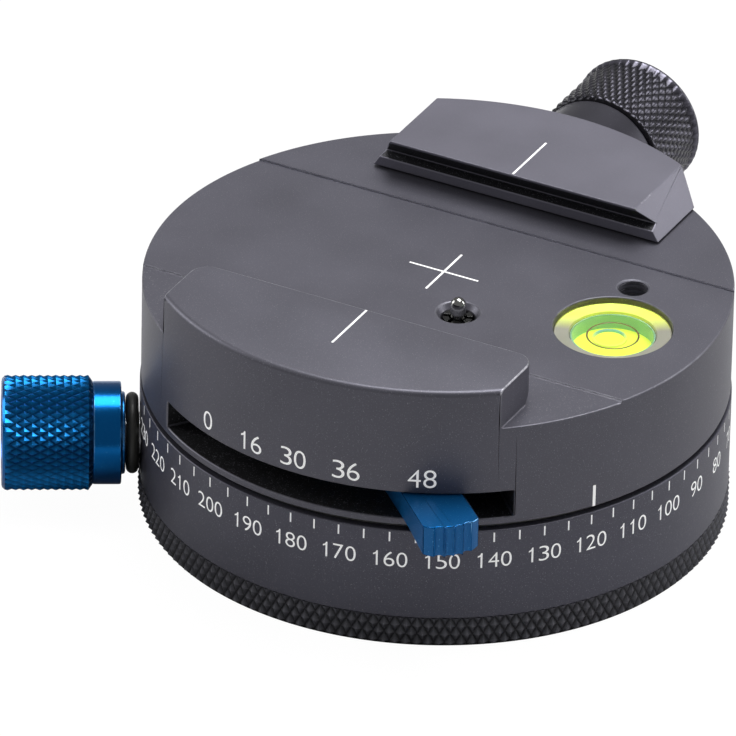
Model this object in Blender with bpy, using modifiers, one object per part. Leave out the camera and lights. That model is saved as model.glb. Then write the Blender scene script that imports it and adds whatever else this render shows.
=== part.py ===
"""Panning plate for stitched panoramas: a turned base with a degree scale and a click-stop disc, and a
rotor with a quick-release clamp, a round level, a safety pin and a lever that picks the click stops.

The frame is Z up with the pan axis on Z and the underside at Z = 0. X runs along the clamp's jaws,
and the fixed jaw is at -Y. All lengths are in metres.
"""

import math

import bmesh
import bpy
from mathutils import Vector

# Clearances shared by every piece
SEAT_GAP = 0.0003
OVERRUN = 0.0020
MERGE = 0.00001

# Facets of a full turn, by size of piece
BIG_STEPS = 60
RING_STEPS = 48
KNOB_STEPS = 32
SMALL_STEPS = 20
SCREW_STEPS = 12

# Base: a turned cup with a knurled foot, a scale wall, a brake channel and a pedestal
BASE_RADIUS = 0.0380
BASE_HEIGHT = 0.01695
FOOT_RADIUS = 0.03815
FOOT_HEIGHT = 0.00415
FOOT_CHAMFER = 0.0005
SCALE_EDGE = 0.0005
BASE_WALL = 0.0056
CHANNEL_FLOOR = 0.0050
PEDESTAL_RADIUS = 0.0258
PEDESTAL_TOP = 0.0125

# Glide ring that carries the rotor on the base's wall
GLIDE_RADIUS = 0.0350
GLIDE_WIDTH = 0.0024
GLIDE_SINK = 0.00105
RUNNING_GAP = 0.0007

# Tripod bush, a 3/8 inch socket in the middle of the base
TRIPOD_RADIUS = 0.0085
TRIPOD_BORE = 0.0041
TRIPOD_LENGTH = 0.0065
TRIPOD_MOUTH = 0.0005

# Pivot: flanged bush in the base, journal of the rotor, washer and bolt from below
BUSH_RADIUS = 0.0078
BUSH_FLANGE_RADIUS = 0.0111
BUSH_BARREL = 0.0022
JOURNAL_RADIUS = 0.0065
WASHER_RADIUS = 0.0082
WASHER_THICKNESS = 0.0010
BOLT_RADIUS = 0.0029
BOLT_HEAD_RADIUS = 0.0050
BOLT_HEAD_HEIGHT = 0.0016
BOLT_LENGTH = 0.0105
BOLT_HEX_RADIUS = 0.0023
BOLT_HEX_DEPTH = 0.0009

# Index disc with one row of pits for each click stop
INDEX_RADIUS = 0.0255
INDEX_BORE = 0.0116
INDEX_THICKNESS = 0.0025
PIT_RADIUS = 0.0008
PIT_DEPTH = 0.0005
PIT_SIDES = 4
INDEX_SCREW_CIRCLE = 0.0178
INDEX_SCREW_COUNT = 3
INDEX_SCREW_RADIUS = 0.0012
INDEX_SCREW_BITE = 0.0014
INDEX_SCREW_HEAD_RADIUS = 0.0021
INDEX_SCREW_HEAD_HEIGHT = 0.0018
INDEX_SCREW_SINK = 0.0060

# Rotor: turned disc with the fixed jaw left standing
ROTOR_RADIUS = 0.03786
ROTOR_EDGE = 0.0003
SEAT_HEIGHT = 0.03186
FRONT_FLOOR_DROP = 0.00020
REAR_FLOOR_RISE = 0.00024
SEAT_HALF_WIDTH = 0.0156
HUB_RADIUS = 0.0074
HUB_FLANGE_RADIUS = 0.0105
HUB_FLANGE_THICKNESS = 0.0016
POCKET_RADIUS = 0.0290
POCKET_BACK = -0.0010
LEVER_SLOT_START = math.radians(-127.2)
LEVER_SLOT_END = math.radians(-47.4)
LEVER_SLOT_BOTTOM = 0.01865
LEVER_SLOT_TOP = 0.02240

# Jaws: dovetail lips of the fixed and the movable jaw
JAW_TOP = 0.03715
FIXED_LIP = 0.0196
FIXED_HALF_LENGTH = 0.0241
FIXED_CORNER = 0.0026
FIXED_LAND = 0.00265
FIXED_EDGE = 0.00035
MOVING_LIP = 0.02018
MOVING_TOP_HALF = 0.0178
MOVING_FOOT_HALF = 0.0207
MOVING_LAND = 0.0007
GROOVE_DEPTH = 0.0022
LOWER_LIP_SETBACK = 0.0011
LOWER_LIP_HEIGHT = 0.0014
GROOVE_FLOOR_RISE = 0.0004

# Leg of the movable jaw, the notch it slides in and its guide pins
LEG_HALF_WIDTH = 0.0095
LEG_FRONT = 0.0295
NOTCH_FRONT = 0.0247
NOTCH_FLOOR = 0.0188
JAW_CLOSING = 0.0045
CLAMP_AXIS_HEIGHT = 0.02735
SPOT_FACE = 0.0370
SPOT_RADIUS = 0.0086
GUIDE_PIN_RADIUS = 0.0015
GUIDE_PIN_OFFSET = 0.0066
GUIDE_PIN_LENGTH = 0.0150
GUIDE_PIN_GRIP = 0.0023

# Clamp knob, screw and washer
CLAMP_SCREW_RADIUS = 0.0029
CLAMP_SCREW_LENGTH = 0.0345
CLAMP_WASHER_RADIUS = 0.0075
CLAMP_WASHER_THICKNESS = 0.0010
CLAMP_COLLAR_RADIUS = 0.00825
CLAMP_COLLAR_LENGTH = 0.0067
CLAMP_KNURL_RADIUS = 0.00923
CLAMP_KNURL_LENGTH = 0.0117
KNOB_ROUNDING = 0.0010
KNOB_BEVEL = 0.0006
KNOB_END_DISH = 0.0003
KNOB_SCREW_GRIP = 0.0105

# Pan lock: brake ring on the rotor, shoe in the channel, screw, knob and rubber ring
BRAKE_RADIUS = 0.0284
BRAKE_WALL = 0.0020
BRAKE_FLANGE_RADIUS = 0.0320
BRAKE_FLANGE_THICKNESS = 0.0017
BRAKE_SCREW_CIRCLE = 0.0301
BRAKE_SCREW_ANGLE = math.radians(35.0)
BRAKE_SCREW_RADIUS = 0.0008
BRAKE_SCREW_HEAD_RADIUS = 0.0016
BRAKE_SCREW_HEAD_RIM = 0.0004
BRAKE_SCREW_LENGTH = 0.0052
LOCK_ANGLE = math.radians(-150.2)
LOCK_HEIGHT = 0.0090
SHOE_THICKNESS = 0.0026
SHOE_HALF_WIDTH = 0.0052
SHOE_HALF_HEIGHT = 0.0037
LOCK_SCREW_RADIUS = 0.0027
LOCK_STEP_START = 0.03985
LOCK_STEP_RADIUS = 0.0053
LOCK_STEP_LENGTH = 0.0005
LOCK_COLLAR_RADIUS = 0.00664
LOCK_COLLAR_LENGTH = 0.00368
LOCK_KNURL_RADIUS = 0.00742
LOCK_KNURL_LENGTH = 0.01170
LOCK_RING_RADIUS = 0.00525
LOCK_RING_LENGTH = 0.0015
LOCK_RING_GAP = 0.0002

# Click-stop lever: a disc on a pivot with a swept tab that ends in a fluted grip
LEVER_PIVOT = Vector((0.0008, -0.0179, 0.0))
LEVER_DISC_RADIUS = 0.0099
LEVER_CLEARANCE = 0.00015
LEVER_HALF_WIDTH = 0.0037
LEVER_REACH = 0.0300
LEVER_BULGE = 0.0010
LEVER_CORNER = 0.0011
LEVER_GRIP_DROP = 0.0009
LEVER_GRIP_START = 0.0238
FLUTE_COUNT = 4
FLUTE_DEPTH = 0.0004
FLUTE_POINTS = 6
LEVER_EDGE = 0.00025
LEVER_SCREW_RADIUS = 0.0019
LEVER_SCREW_HEAD_RADIUS = 0.0031
LEVER_SCREW_HEAD_HEIGHT = 0.0010
LEVER_SCREW_BITE = 0.0045

# Lever angle at each click stop, seen from its pivot, and the pits that each stop has in a full turn
STOP_ANGLES = {
    48: math.radians(-43.8),
    36: math.radians(-73.3),
    30: math.radians(-94.1),
    16: math.radians(-112.3),
    0: math.radians(-131.4),
}
LEVER_REST_ANGLE = STOP_ANGLES[48]

# Detent plunger in the lever, with its spring
PLUNGER_ARM = 0.00754
PLUNGER_LEAD = math.radians(-90.0)
PLUNGER_RADIUS = 0.0011
PLUNGER_LENGTH = 0.0040
PLUNGER_TIP = 0.0004
DETENT_SPRING_LENGTH = 0.0021

# Ball in the rotor that clicks into the lever's stop pits, with its spring
SELECT_ARM = 0.0062
SELECT_BALL_RADIUS = 0.0011
SELECT_PIT_DEPTH = 0.0004
SELECT_SPRING_LENGTH = 0.0032

# Coils of the small springs
SPRING_WIRE = 0.00014
SPRING_TURNS = 3
SPRING_TURN_POINTS = 8

# Safety pin: a spring plunger screwed into a countersunk hole
PIN_PLACE = Vector((0.00614, -0.00633, 0.0))
PIN_SINK_RADIUS = 0.0030
PIN_SINK_DEPTH = 0.0009
SLEEVE_RADIUS = 0.00195
SLEEVE_TOP_DROP = 0.0006
SLEEVE_LENGTH = 0.0077
SLEEVE_WALL = 0.00045
SLEEVE_FLOOR = 0.0006
SLEEVE_LIP = 0.0006
SLEEVE_LIP_BORE = 0.00115
PIN_RADIUS = 0.0010
PIN_PROUD = 0.0021
PIN_SHOULDER_RADIUS = 0.0013
PIN_SHOULDER_LENGTH = 0.0018
PIN_SPRING_RADIUS = 0.0010

# Round level: bright base disc, clear vial and the liquid in it
LEVEL_PLACE = Vector((0.0250, 0.0001, 0.0))
LEVEL_RECESS_RADIUS = 0.0078
LEVEL_RECESS_DEPTH = 0.0062
VIAL_RADIUS = 0.0075
VIAL_DROP = 0.0006
VIAL_EDGE = 0.0003
VIAL_BORE = 0.00555
VIAL_WINDOW = 0.0009
LEVEL_BASE_THICKNESS = 0.0011
LEVEL_LINE_GAP = 0.0001

# Tapped hole beside the level
SPARE_HOLE_PLACE = Vector((0.0227, 0.0103, 0.0))
SPARE_HOLE_RADIUS = 0.00213
SPARE_HOLE_SINK = 0.0003
SPARE_HOLE_DEPTH = 0.0055

# Heights and radii that follow from the values above
ROTOR_BOTTOM = BASE_HEIGHT + RUNNING_GAP
CHANNEL_OUTER = BASE_RADIUS - BASE_WALL
INDEX_BOTTOM = PEDESTAL_TOP + SEAT_GAP
INDEX_TOP = INDEX_BOTTOM + INDEX_THICKNESS
HUB_BOTTOM = INDEX_TOP + SEAT_GAP
HUB_FLANGE_TOP = HUB_BOTTOM + HUB_FLANGE_THICKNESS
BUSH_BOTTOM = INDEX_BOTTOM - BUSH_BARREL
JOURNAL_END = BUSH_BOTTOM - SEAT_GAP
WASHER_TOP = JOURNAL_END - SEAT_GAP
BOLT_HEAD_TOP = WASHER_TOP - WASHER_THICKNESS - SEAT_GAP
LEVER_BOTTOM = LEVER_SLOT_BOTTOM + LEVER_CLEARANCE
LEVER_TOP = LEVER_SLOT_TOP - LEVER_CLEARANCE
POCKET_TOP = LEVER_TOP + SEAT_GAP
REAR_FLOOR = SEAT_HEIGHT + REAR_FLOOR_RISE
FRONT_FLOOR = SEAT_HEIGHT - FRONT_FLOOR_DROP
JAW_BOTTOM = REAR_FLOOR + SEAT_GAP
NOTCH_HALF_WIDTH = LEG_HALF_WIDTH + SEAT_GAP
LEG_BOTTOM = NOTCH_FLOOR + SEAT_GAP
CLAMP_WASHER_START = SPOT_FACE + SEAT_GAP
CLAMP_KNOB_START = CLAMP_WASHER_START + CLAMP_WASHER_THICKNESS + SEAT_GAP
SHOE_INNER = BRAKE_RADIUS + SEAT_GAP
SHOE_OUTER = SHOE_INNER + SHOE_THICKNESS
LOCK_SCREW_TIP = SHOE_OUTER + SEAT_GAP
SLEEVE_TOP = SEAT_HEIGHT - SLEEVE_TOP_DROP
SLEEVE_BOTTOM = SLEEVE_TOP - SLEEVE_LENGTH
LEVEL_FLOOR = SEAT_HEIGHT - LEVEL_RECESS_DEPTH
LEVEL_BASE_BOTTOM = LEVEL_FLOOR + SEAT_GAP
LEVEL_BASE_TOP = LEVEL_BASE_BOTTOM + LEVEL_BASE_THICKNESS
VIAL_BOTTOM = LEVEL_BASE_TOP + LEVEL_LINE_GAP
VIAL_TOP = SEAT_HEIGHT - VIAL_DROP


def clear_scene():
    for old in list(bpy.data.objects):
        bpy.data.objects.remove(old, do_unlink=True)


def new_collection(name, hidden=False):
    made = bpy.data.collections.new(name)
    made.hide_render = hidden
    bpy.context.scene.collection.children.link(made)
    return made


clear_scene()
PARTS = new_collection("panning_plate")
CUTTERS = new_collection("cutters", hidden=True)


def material(name, colour, metallic, roughness, transmission=0.0):
    made = bpy.data.materials.new(name)
    made.use_nodes = True
    shader = made.node_tree.nodes["Principled BSDF"]
    shader.inputs["Base Color"].default_value = (*colour, 1.0)
    shader.inputs["Metallic"].default_value = metallic
    shader.inputs["Roughness"].default_value = roughness
    shader.inputs["Transmission Weight"].default_value = transmission
    made.diffuse_color = (*colour, 1.0)
    return made


def axis_empty(name, place, turn=(0.0, 0.0, 0.0), parent=None):
    """An empty on a joint's axis, placed in the world and then parented."""
    made = bpy.data.objects.new(name, None)
    made.location = place
    made.rotation_euler = turn
    PARTS.objects.link(made)
    if parent is not None:
        made.parent = parent
        bpy.context.view_layer.update()
        made.matrix_parent_inverse = parent.matrix_world.inverted()
    bpy.context.view_layer.update()
    return made


def add_object(name, mesh, carrier=None, look=None, place=(0.0, 0.0, 0.0), turn=0.0):
    """Links a mesh as a piece, at a place and a turn about Z in its carrier's own frame."""
    made = bpy.data.objects.new(name, mesh)
    made.location = place
    made.rotation_euler = (0.0, 0.0, turn)
    made.parent = carrier
    if look is None:
        CUTTERS.objects.link(made)
        made.hide_render = True
        made.display_type = "WIRE"
    else:
        PARTS.objects.link(made)
        mesh.materials.append(look)
    return made


def turned(name, profile, steps, closed=True, **placing):
    """A turned piece. The profile is (radius, height) points that run down the outer side."""
    mesh = bpy.data.meshes.new(name)
    count = len(profile)
    edges = [(i, i + 1) for i in range(count - 1)]
    if closed:
        edges.append((count - 1, 0))
    mesh.from_pydata([(radius, 0.0, height) for radius, height in profile], edges, [])
    made = add_object(name, mesh, **placing)
    screw = made.modifiers.new("Turn", "SCREW")
    screw.axis = "Z"
    screw.steps = steps
    screw.render_steps = steps
    screw.use_merge_vertices = True
    screw.merge_threshold = MERGE
    screw.use_smooth_shade = True
    return made


def disc_profile(radius, bottom, top):
    return [(0.0, top), (radius, top), (radius, bottom), (0.0, bottom)]


def ring_profile(inner, outer, bottom, top):
    return [(inner, top), (outer, top), (outer, bottom), (inner, bottom)]


def rod(name, radius, bottom, top, steps, **placing):
    return turned(name, disc_profile(radius, bottom, top), steps, closed=False, **placing)


def box_mesh(name, low, high):
    """A box between two corners, from a unit cube."""
    low, high = Vector(low), Vector(high)
    shape = bmesh.new()
    bmesh.ops.create_cube(shape, size=1.0)
    size, middle = high - low, (high + low) / 2
    for point in shape.verts:
        point.co = Vector(c * s for c, s in zip(point.co, size)) + middle
    mesh = bpy.data.meshes.new(name)
    shape.to_mesh(mesh)
    shape.free()
    return mesh


def outline_mesh(name, outline, thickness):
    """A flat outline in local X and Y, filled and extruded to half its thickness each way."""
    curve = bpy.data.curves.new(name, "CURVE")
    curve.dimensions = "2D"
    curve.fill_mode = "BOTH"
    curve.extrude = thickness / 2
    spline = curve.splines.new("POLY")
    spline.points.add(len(outline) - 1)
    for point, (x, y) in zip(spline.points, outline):
        point.co = (x, y, 0.0, 1.0)
    spline.use_cyclic_u = True
    return curve_to_mesh(name, curve)


def curve_to_mesh(name, curve):
    """The mesh of a curve object, with its loose caps welded. The curve is removed."""
    guide = bpy.data.objects.new(name, curve)
    bpy.context.scene.collection.objects.link(guide)
    bpy.context.view_layer.update()
    graph = bpy.context.evaluated_depsgraph_get()
    mesh = bpy.data.meshes.new_from_object(guide.evaluated_get(graph))
    bpy.data.objects.remove(guide, do_unlink=True)
    bpy.data.curves.remove(curve)
    mesh.name = name
    shape = bmesh.new()
    shape.from_mesh(mesh)
    bmesh.ops.remove_doubles(shape, verts=shape.verts, dist=MERGE)
    bmesh.ops.recalc_face_normals(shape, faces=shape.faces)
    shape.to_mesh(mesh)
    shape.free()
    return mesh


def boolean(piece, cutter, operation="DIFFERENCE"):
    """Cuts, joins or intersects a piece with a helper object."""
    change = piece.modifiers.new(cutter.name, "BOOLEAN")
    change.operation = operation
    change.solver = "EXACT"
    change.object = cutter


def arc(centre, radius, start, end, count):
    """Points on an arc, with both ends."""
    step = (end - start) / (count - 1)
    angles = [start + step * i for i in range(count)]
    return [(centre[0] + radius * math.cos(a), centre[1] + radius * math.sin(a)) for a in angles]


def polar(radius, angle, height=0.0):
    return Vector((radius * math.cos(angle), radius * math.sin(angle), height))


def shade(piece):
    piece.data.shade_smooth()
    piece.data.set_sharp_from_angle(angle=math.radians(35.0))


def hex_cutter(name, radius, bottom, top, **placing):
    return rod(name, radius, bottom, top, 6, **placing)


def spring_mesh(name, coil_radius, length):
    """A coil spring that stands on its own origin along Z."""
    curve = bpy.data.curves.new(name, "CURVE")
    curve.dimensions = "3D"
    curve.bevel_depth = SPRING_WIRE
    curve.bevel_resolution = 1
    curve.use_fill_caps = True
    count = SPRING_TURNS * SPRING_TURN_POINTS + 1
    spline = curve.splines.new("POLY")
    spline.points.add(count - 1)
    rise = length - 2 * SPRING_WIRE
    for i, point in enumerate(spline.points):
        angle = 2 * math.pi * i / SPRING_TURN_POINTS
        height = SPRING_WIRE + rise * i / (count - 1)
        point.co = (*polar(coil_radius, angle, height), 1.0)
    return curve_to_mesh(name, curve)


ANODISED = material("anodised_grey", (0.125, 0.125, 0.15), 0.75, 0.42)
ANODISED_WALL = material("anodised_wall", (0.10, 0.10, 0.12), 0.75, 0.40)
BLUE = material("anodised_blue", (0.0, 0.14, 0.50), 0.85, 0.28)
BLACK_KNOB = material("anodised_black", (0.09, 0.09, 0.11), 0.8, 0.38)
STEEL = material("steel", (0.55, 0.56, 0.58), 1.0, 0.28)
HARD_STEEL = material("hardened_steel", (0.42, 0.43, 0.45), 1.0, 0.35)
BRONZE = material("bronze", (0.55, 0.36, 0.16), 1.0, 0.35)
GLIDE = material("glide_plastic", (0.75, 0.74, 0.70), 0.0, 0.5)
RUBBER = material("rubber", (0.03, 0.03, 0.028), 0.0, 0.6)
LEVEL_YELLOW = material("level_yellow", (0.80, 0.95, 0.10), 0.0, 0.35)
LEVEL_LIQUID = material("level_liquid", (0.75, 0.95, 0.15), 0.0, 0.05, 0.8)
CLEAR = material("clear_acrylic", (0.92, 0.94, 0.90), 0.0, 0.05, 0.95)

# Joint axes
PAN = axis_empty("pan_axis", (0.0, 0.0, 0.0))
LEVER = axis_empty("lever_axis", LEVER_PIVOT, (0.0, 0.0, LEVER_REST_ANGLE), PAN)
PIN = axis_empty("pin_axis", PIN_PLACE, (0.0, 0.0, 0.0), PAN)
JAW = axis_empty("jaw_slide", (0.0, 0.0, 0.0), (0.0, 0.0, 0.0), PAN)
CLAMP = axis_empty("clamp_axis", (0.0, 0.0, CLAMP_AXIS_HEIGHT), (-math.pi / 2, 0.0, 0.0), JAW)
LOCK = axis_empty("lock_axis", (0.0, 0.0, LOCK_HEIGHT), (0.0, math.pi / 2, LOCK_ANGLE))


def plunger_place(stop):
    """Where the detent plunger stands when the lever is at a click stop."""
    return LEVER_PIVOT + polar(PLUNGER_ARM, STOP_ANGLES[stop] + PLUNGER_LEAD)


def index_screw_places():
    for i in range(INDEX_SCREW_COUNT):
        yield polar(INDEX_SCREW_CIRCLE, math.radians(90.0) + 2 * math.pi * i / INDEX_SCREW_COUNT)


def make_base():
    glide_inner = GLIDE_RADIUS - GLIDE_WIDTH / 2 - SEAT_GAP
    glide_outer = GLIDE_RADIUS + GLIDE_WIDTH / 2 + SEAT_GAP
    glide_floor = BASE_HEIGHT - GLIDE_SINK
    socket = TRIPOD_RADIUS + SEAT_GAP
    bush_bore = BUSH_RADIUS + SEAT_GAP
    profile = [
        (bush_bore, PEDESTAL_TOP),
        (PEDESTAL_RADIUS, PEDESTAL_TOP),
        (PEDESTAL_RADIUS, CHANNEL_FLOOR),
        (CHANNEL_OUTER, CHANNEL_FLOOR),
        (CHANNEL_OUTER, BASE_HEIGHT),
        (glide_inner, BASE_HEIGHT),
        (glide_inner, glide_floor),
        (glide_outer, glide_floor),
        (glide_outer, BASE_HEIGHT),
        (BASE_RADIUS - SCALE_EDGE, BASE_HEIGHT),
        (BASE_RADIUS, BASE_HEIGHT - SCALE_EDGE),
        (BASE_RADIUS, FOOT_HEIGHT),
        (FOOT_RADIUS, FOOT_HEIGHT),
        (FOOT_RADIUS, FOOT_CHAMFER),
        (FOOT_RADIUS - FOOT_CHAMFER, 0.0),
        (socket + TRIPOD_MOUTH, 0.0),
        (socket, TRIPOD_MOUTH),
        (socket, JOURNAL_END),
        (bush_bore, JOURNAL_END),
    ]
    base = turned("base_body", profile, BIG_STEPS, look=ANODISED_WALL)
    hole = rod("lock_hole", LOCK_SCREW_RADIUS + SEAT_GAP, CHANNEL_OUTER - OVERRUN,
               BASE_RADIUS + OVERRUN, SMALL_STEPS, carrier=LOCK)
    boolean(base, hole)
    for i, place in enumerate(index_screw_places()):
        shank = INDEX_SCREW_RADIUS + SEAT_GAP
        head = INDEX_SCREW_HEAD_RADIUS + SEAT_GAP
        head_top = INDEX_SCREW_SINK + INDEX_SCREW_HEAD_HEIGHT + SEAT_GAP
        stepped = [
            (0.0, PEDESTAL_TOP + OVERRUN),
            (shank, PEDESTAL_TOP + OVERRUN),
            (shank, head_top),
            (head, head_top),
            (head, -OVERRUN),
            (0.0, -OVERRUN),
        ]
        boolean(base, turned(f"index_screw_hole_{i + 1}", stepped, SCREW_STEPS, False, place=place))


def make_glide_ring():
    inner = GLIDE_RADIUS - GLIDE_WIDTH / 2
    outer = GLIDE_RADIUS + GLIDE_WIDTH / 2
    bottom = BASE_HEIGHT - GLIDE_SINK + SEAT_GAP
    top = ROTOR_BOTTOM - SEAT_GAP
    turned("glide_ring", ring_profile(inner, outer, bottom, top), RING_STEPS, look=GLIDE)


def make_tripod_bush():
    bottom = SEAT_GAP
    top = bottom + TRIPOD_LENGTH
    profile = [
        (TRIPOD_BORE, top),
        (TRIPOD_RADIUS, top),
        (TRIPOD_RADIUS, bottom),
        (TRIPOD_BORE + TRIPOD_MOUTH, bottom),
        (TRIPOD_BORE, bottom + TRIPOD_MOUTH),
    ]
    turned("tripod_bush", profile, SMALL_STEPS, look=STEEL)


def make_pivot():
    bore = JOURNAL_RADIUS + SEAT_GAP
    bush = [
        (bore, INDEX_TOP),
        (BUSH_FLANGE_RADIUS, INDEX_TOP),
        (BUSH_FLANGE_RADIUS, INDEX_BOTTOM),
        (BUSH_RADIUS, INDEX_BOTTOM),
        (BUSH_RADIUS, BUSH_BOTTOM),
        (bore, BUSH_BOTTOM),
    ]
    turned("pivot_bush", bush, KNOB_STEPS, look=BRONZE)
    washer = ring_profile(BOLT_RADIUS + SEAT_GAP, WASHER_RADIUS, WASHER_TOP - WASHER_THICKNESS, WASHER_TOP)
    turned("pivot_washer", washer, SMALL_STEPS, look=STEEL, carrier=PAN)
    head_bottom = BOLT_HEAD_TOP - BOLT_HEAD_HEIGHT
    bolt = [
        (0.0, BOLT_HEAD_TOP + BOLT_LENGTH),
        (BOLT_RADIUS, BOLT_HEAD_TOP + BOLT_LENGTH),
        (BOLT_RADIUS, BOLT_HEAD_TOP),
        (BOLT_HEAD_RADIUS, BOLT_HEAD_TOP),
        (BOLT_HEAD_RADIUS, head_bottom),
        (0.0, head_bottom),
    ]
    made = turned("pivot_bolt", bolt, SMALL_STEPS, False, look=STEEL, carrier=PAN)
    boolean(made, hex_cutter("bolt_hex", BOLT_HEX_RADIUS, head_bottom - OVERRUN,
                             head_bottom + BOLT_HEX_DEPTH, carrier=PAN))


def pit_cones():
    """All the click pits as one cutter, a row of cones for each stop."""
    shape = bmesh.new()
    reach = PIT_DEPTH + SEAT_GAP
    mouth = PIT_RADIUS * reach / PIT_DEPTH
    middle = INDEX_TOP - PIT_DEPTH + reach / 2
    for stop in STOP_ANGLES:
        first = plunger_place(stop)
        row_radius = first.length
        row_start = math.atan2(first.y, first.x)
        for i in range(stop):
            made = bmesh.ops.create_cone(shape, cap_ends=True, segments=PIT_SIDES,
                                         radius1=0.0, radius2=mouth, depth=reach)
            place = polar(row_radius, row_start + 2 * math.pi * i / stop, middle)
            bmesh.ops.translate(shape, verts=made["verts"], vec=place)
    bmesh.ops.remove_doubles(shape, verts=shape.verts, dist=MERGE)
    bmesh.ops.recalc_face_normals(shape, faces=shape.faces)
    mesh = bpy.data.meshes.new("pits")
    shape.to_mesh(mesh)
    shape.free()
    return mesh


def make_index_disc():
    profile = ring_profile(INDEX_BORE, INDEX_RADIUS, INDEX_BOTTOM, INDEX_TOP)
    disc = turned("index_disc", profile, RING_STEPS, look=HARD_STEEL)
    boolean(disc, add_object("pits", pit_cones()))
    head_top = INDEX_SCREW_SINK + INDEX_SCREW_HEAD_HEIGHT
    tip = INDEX_BOTTOM + INDEX_SCREW_BITE
    screw = [
        (0.0, tip),
        (INDEX_SCREW_RADIUS, tip),
        (INDEX_SCREW_RADIUS, head_top),
        (INDEX_SCREW_HEAD_RADIUS, head_top),
        (INDEX_SCREW_HEAD_RADIUS, INDEX_SCREW_SINK),
        (0.0, INDEX_SCREW_SINK),
    ]
    for i, place in enumerate(index_screw_places()):
        boolean(disc, rod(f"index_tap_{i + 1}", INDEX_SCREW_RADIUS + SEAT_GAP, INDEX_BOTTOM - OVERRUN,
                          tip + SEAT_GAP, SCREW_STEPS, place=place))
        turned(f"index_screw_{i + 1}", screw, SCREW_STEPS, False, look=STEEL, place=place)


def rounded_block(half_length, front, back, corner):
    """Plan of the fixed jaw: a block along X with its two rear corners rounded."""
    right = arc((half_length - corner, back - corner), corner, 0.0, math.pi / 2, 7)
    left = arc((corner - half_length, back - corner), corner, math.pi / 2, math.pi, 7)
    return [(-half_length, front), (half_length, front)] + right + left


def cut_rotor_top(rotor):
    """Leaves the fixed jaw, the seat and the two floors standing on the turned disc."""
    side = ROTOR_RADIUS + OVERRUN
    top = JAW_TOP + OVERRUN
    rear = add_object("rear_clear", box_mesh("rear_clear", (-side, SEAT_HALF_WIDTH, REAR_FLOOR),
                                             (side, side, top)))
    seat = add_object("seat_clear", box_mesh("seat_clear", (-side, -SEAT_HALF_WIDTH, SEAT_HEIGHT),
                                             (side, SEAT_HALF_WIDTH + OVERRUN, top)))
    boolean(rotor, rear)
    boolean(seat, add_object("rear_keep", box_mesh("rear_keep", (-side - OVERRUN, SEAT_HALF_WIDTH, 0.0),
                                                   (side + OVERRUN, side, REAR_FLOOR))))
    boolean(rotor, seat)
    height = top - FRONT_FLOOR
    front = add_object("front_clear", box_mesh("front_clear", (-side, -side, FRONT_FLOOR),
                                               (side, -SEAT_HALF_WIDTH + OVERRUN, top)))
    boolean(front, add_object("seat_keep", box_mesh("seat_keep", (-side - OVERRUN, -SEAT_HALF_WIDTH, 0.0),
                                                    (side + OVERRUN, side, SEAT_HEIGHT))))
    plan = rounded_block(FIXED_HALF_LENGTH, -side - OVERRUN, -FIXED_LIP, FIXED_CORNER)
    block = add_object("jaw_keep", outline_mesh("jaw_keep", plan, height + OVERRUN),
                       place=(0.0, 0.0, FRONT_FLOOR + height / 2))
    boolean(front, block)
    boolean(rotor, front)
    undercut_top = JAW_TOP - FIXED_LAND
    depth = undercut_top - FRONT_FLOOR
    wedge = [
        (-FIXED_LIP + OVERRUN, undercut_top + OVERRUN),
        (-FIXED_LIP + OVERRUN, FRONT_FLOOR),
        (-FIXED_LIP - depth, FRONT_FLOOR),
        (-FIXED_LIP, undercut_top),
        (-FIXED_LIP, undercut_top + OVERRUN),
    ]
    boolean(rotor, prism_along_x("fixed_undercut", wedge, 2 * side))


def prism_along_x(name, profile, length, **placing):
    """A cutter with a (Y, Z) profile, run along X."""
    made = add_object(name, outline_mesh(name, profile, length), **placing)
    made.rotation_euler = (math.pi / 2, 0.0, math.pi / 2)
    return made


def cut_lever_pocket(rotor):
    """The pocket under the rotor for the lever, the slot in the wall and the two detent bores."""
    pocket = rod("lever_pocket", POCKET_RADIUS, HUB_FLANGE_TOP, POCKET_TOP, RING_STEPS, carrier=PAN)
    behind = box_mesh("pocket_keep", (-BASE_RADIUS, POCKET_BACK, 0.0), (BASE_RADIUS, BASE_RADIUS, SEAT_HEIGHT))
    boolean(pocket, add_object("pocket_keep", behind))
    boolean(pocket, rod("hub_keep", HUB_RADIUS, 0.0, SEAT_HEIGHT, KNOB_STEPS))
    boolean(rotor, pocket)
    inner = POCKET_RADIUS - OVERRUN
    outer = ROTOR_RADIUS + OVERRUN
    count = 17
    plan = arc((0.0, 0.0), outer, LEVER_SLOT_START, LEVER_SLOT_END, count)
    plan += arc((0.0, 0.0), inner, LEVER_SLOT_END, LEVER_SLOT_START, count)
    slot = outline_mesh("lever_slot", plan, LEVER_SLOT_TOP - LEVER_SLOT_BOTTOM)
    boolean(rotor, add_object("lever_slot", slot, place=(0.0, 0.0, (LEVER_SLOT_TOP + LEVER_SLOT_BOTTOM) / 2)))
    tap_top = LEVER_TOP + SEAT_GAP + LEVER_SCREW_BITE + SEAT_GAP
    boolean(rotor, rod("lever_tap", LEVER_SCREW_RADIUS + SEAT_GAP, HUB_FLANGE_TOP, tap_top,
                       SMALL_STEPS, place=LEVER_PIVOT))
    bore_top = POCKET_TOP + 2 * SELECT_BALL_RADIUS + SELECT_SPRING_LENGTH + 2 * SEAT_GAP
    boolean(rotor, rod("select_bore", SELECT_BALL_RADIUS + SEAT_GAP, LEVER_TOP, bore_top,
                       SMALL_STEPS, place=LEVER_PIVOT + Vector((0.0, SELECT_ARM, 0.0))))


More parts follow.
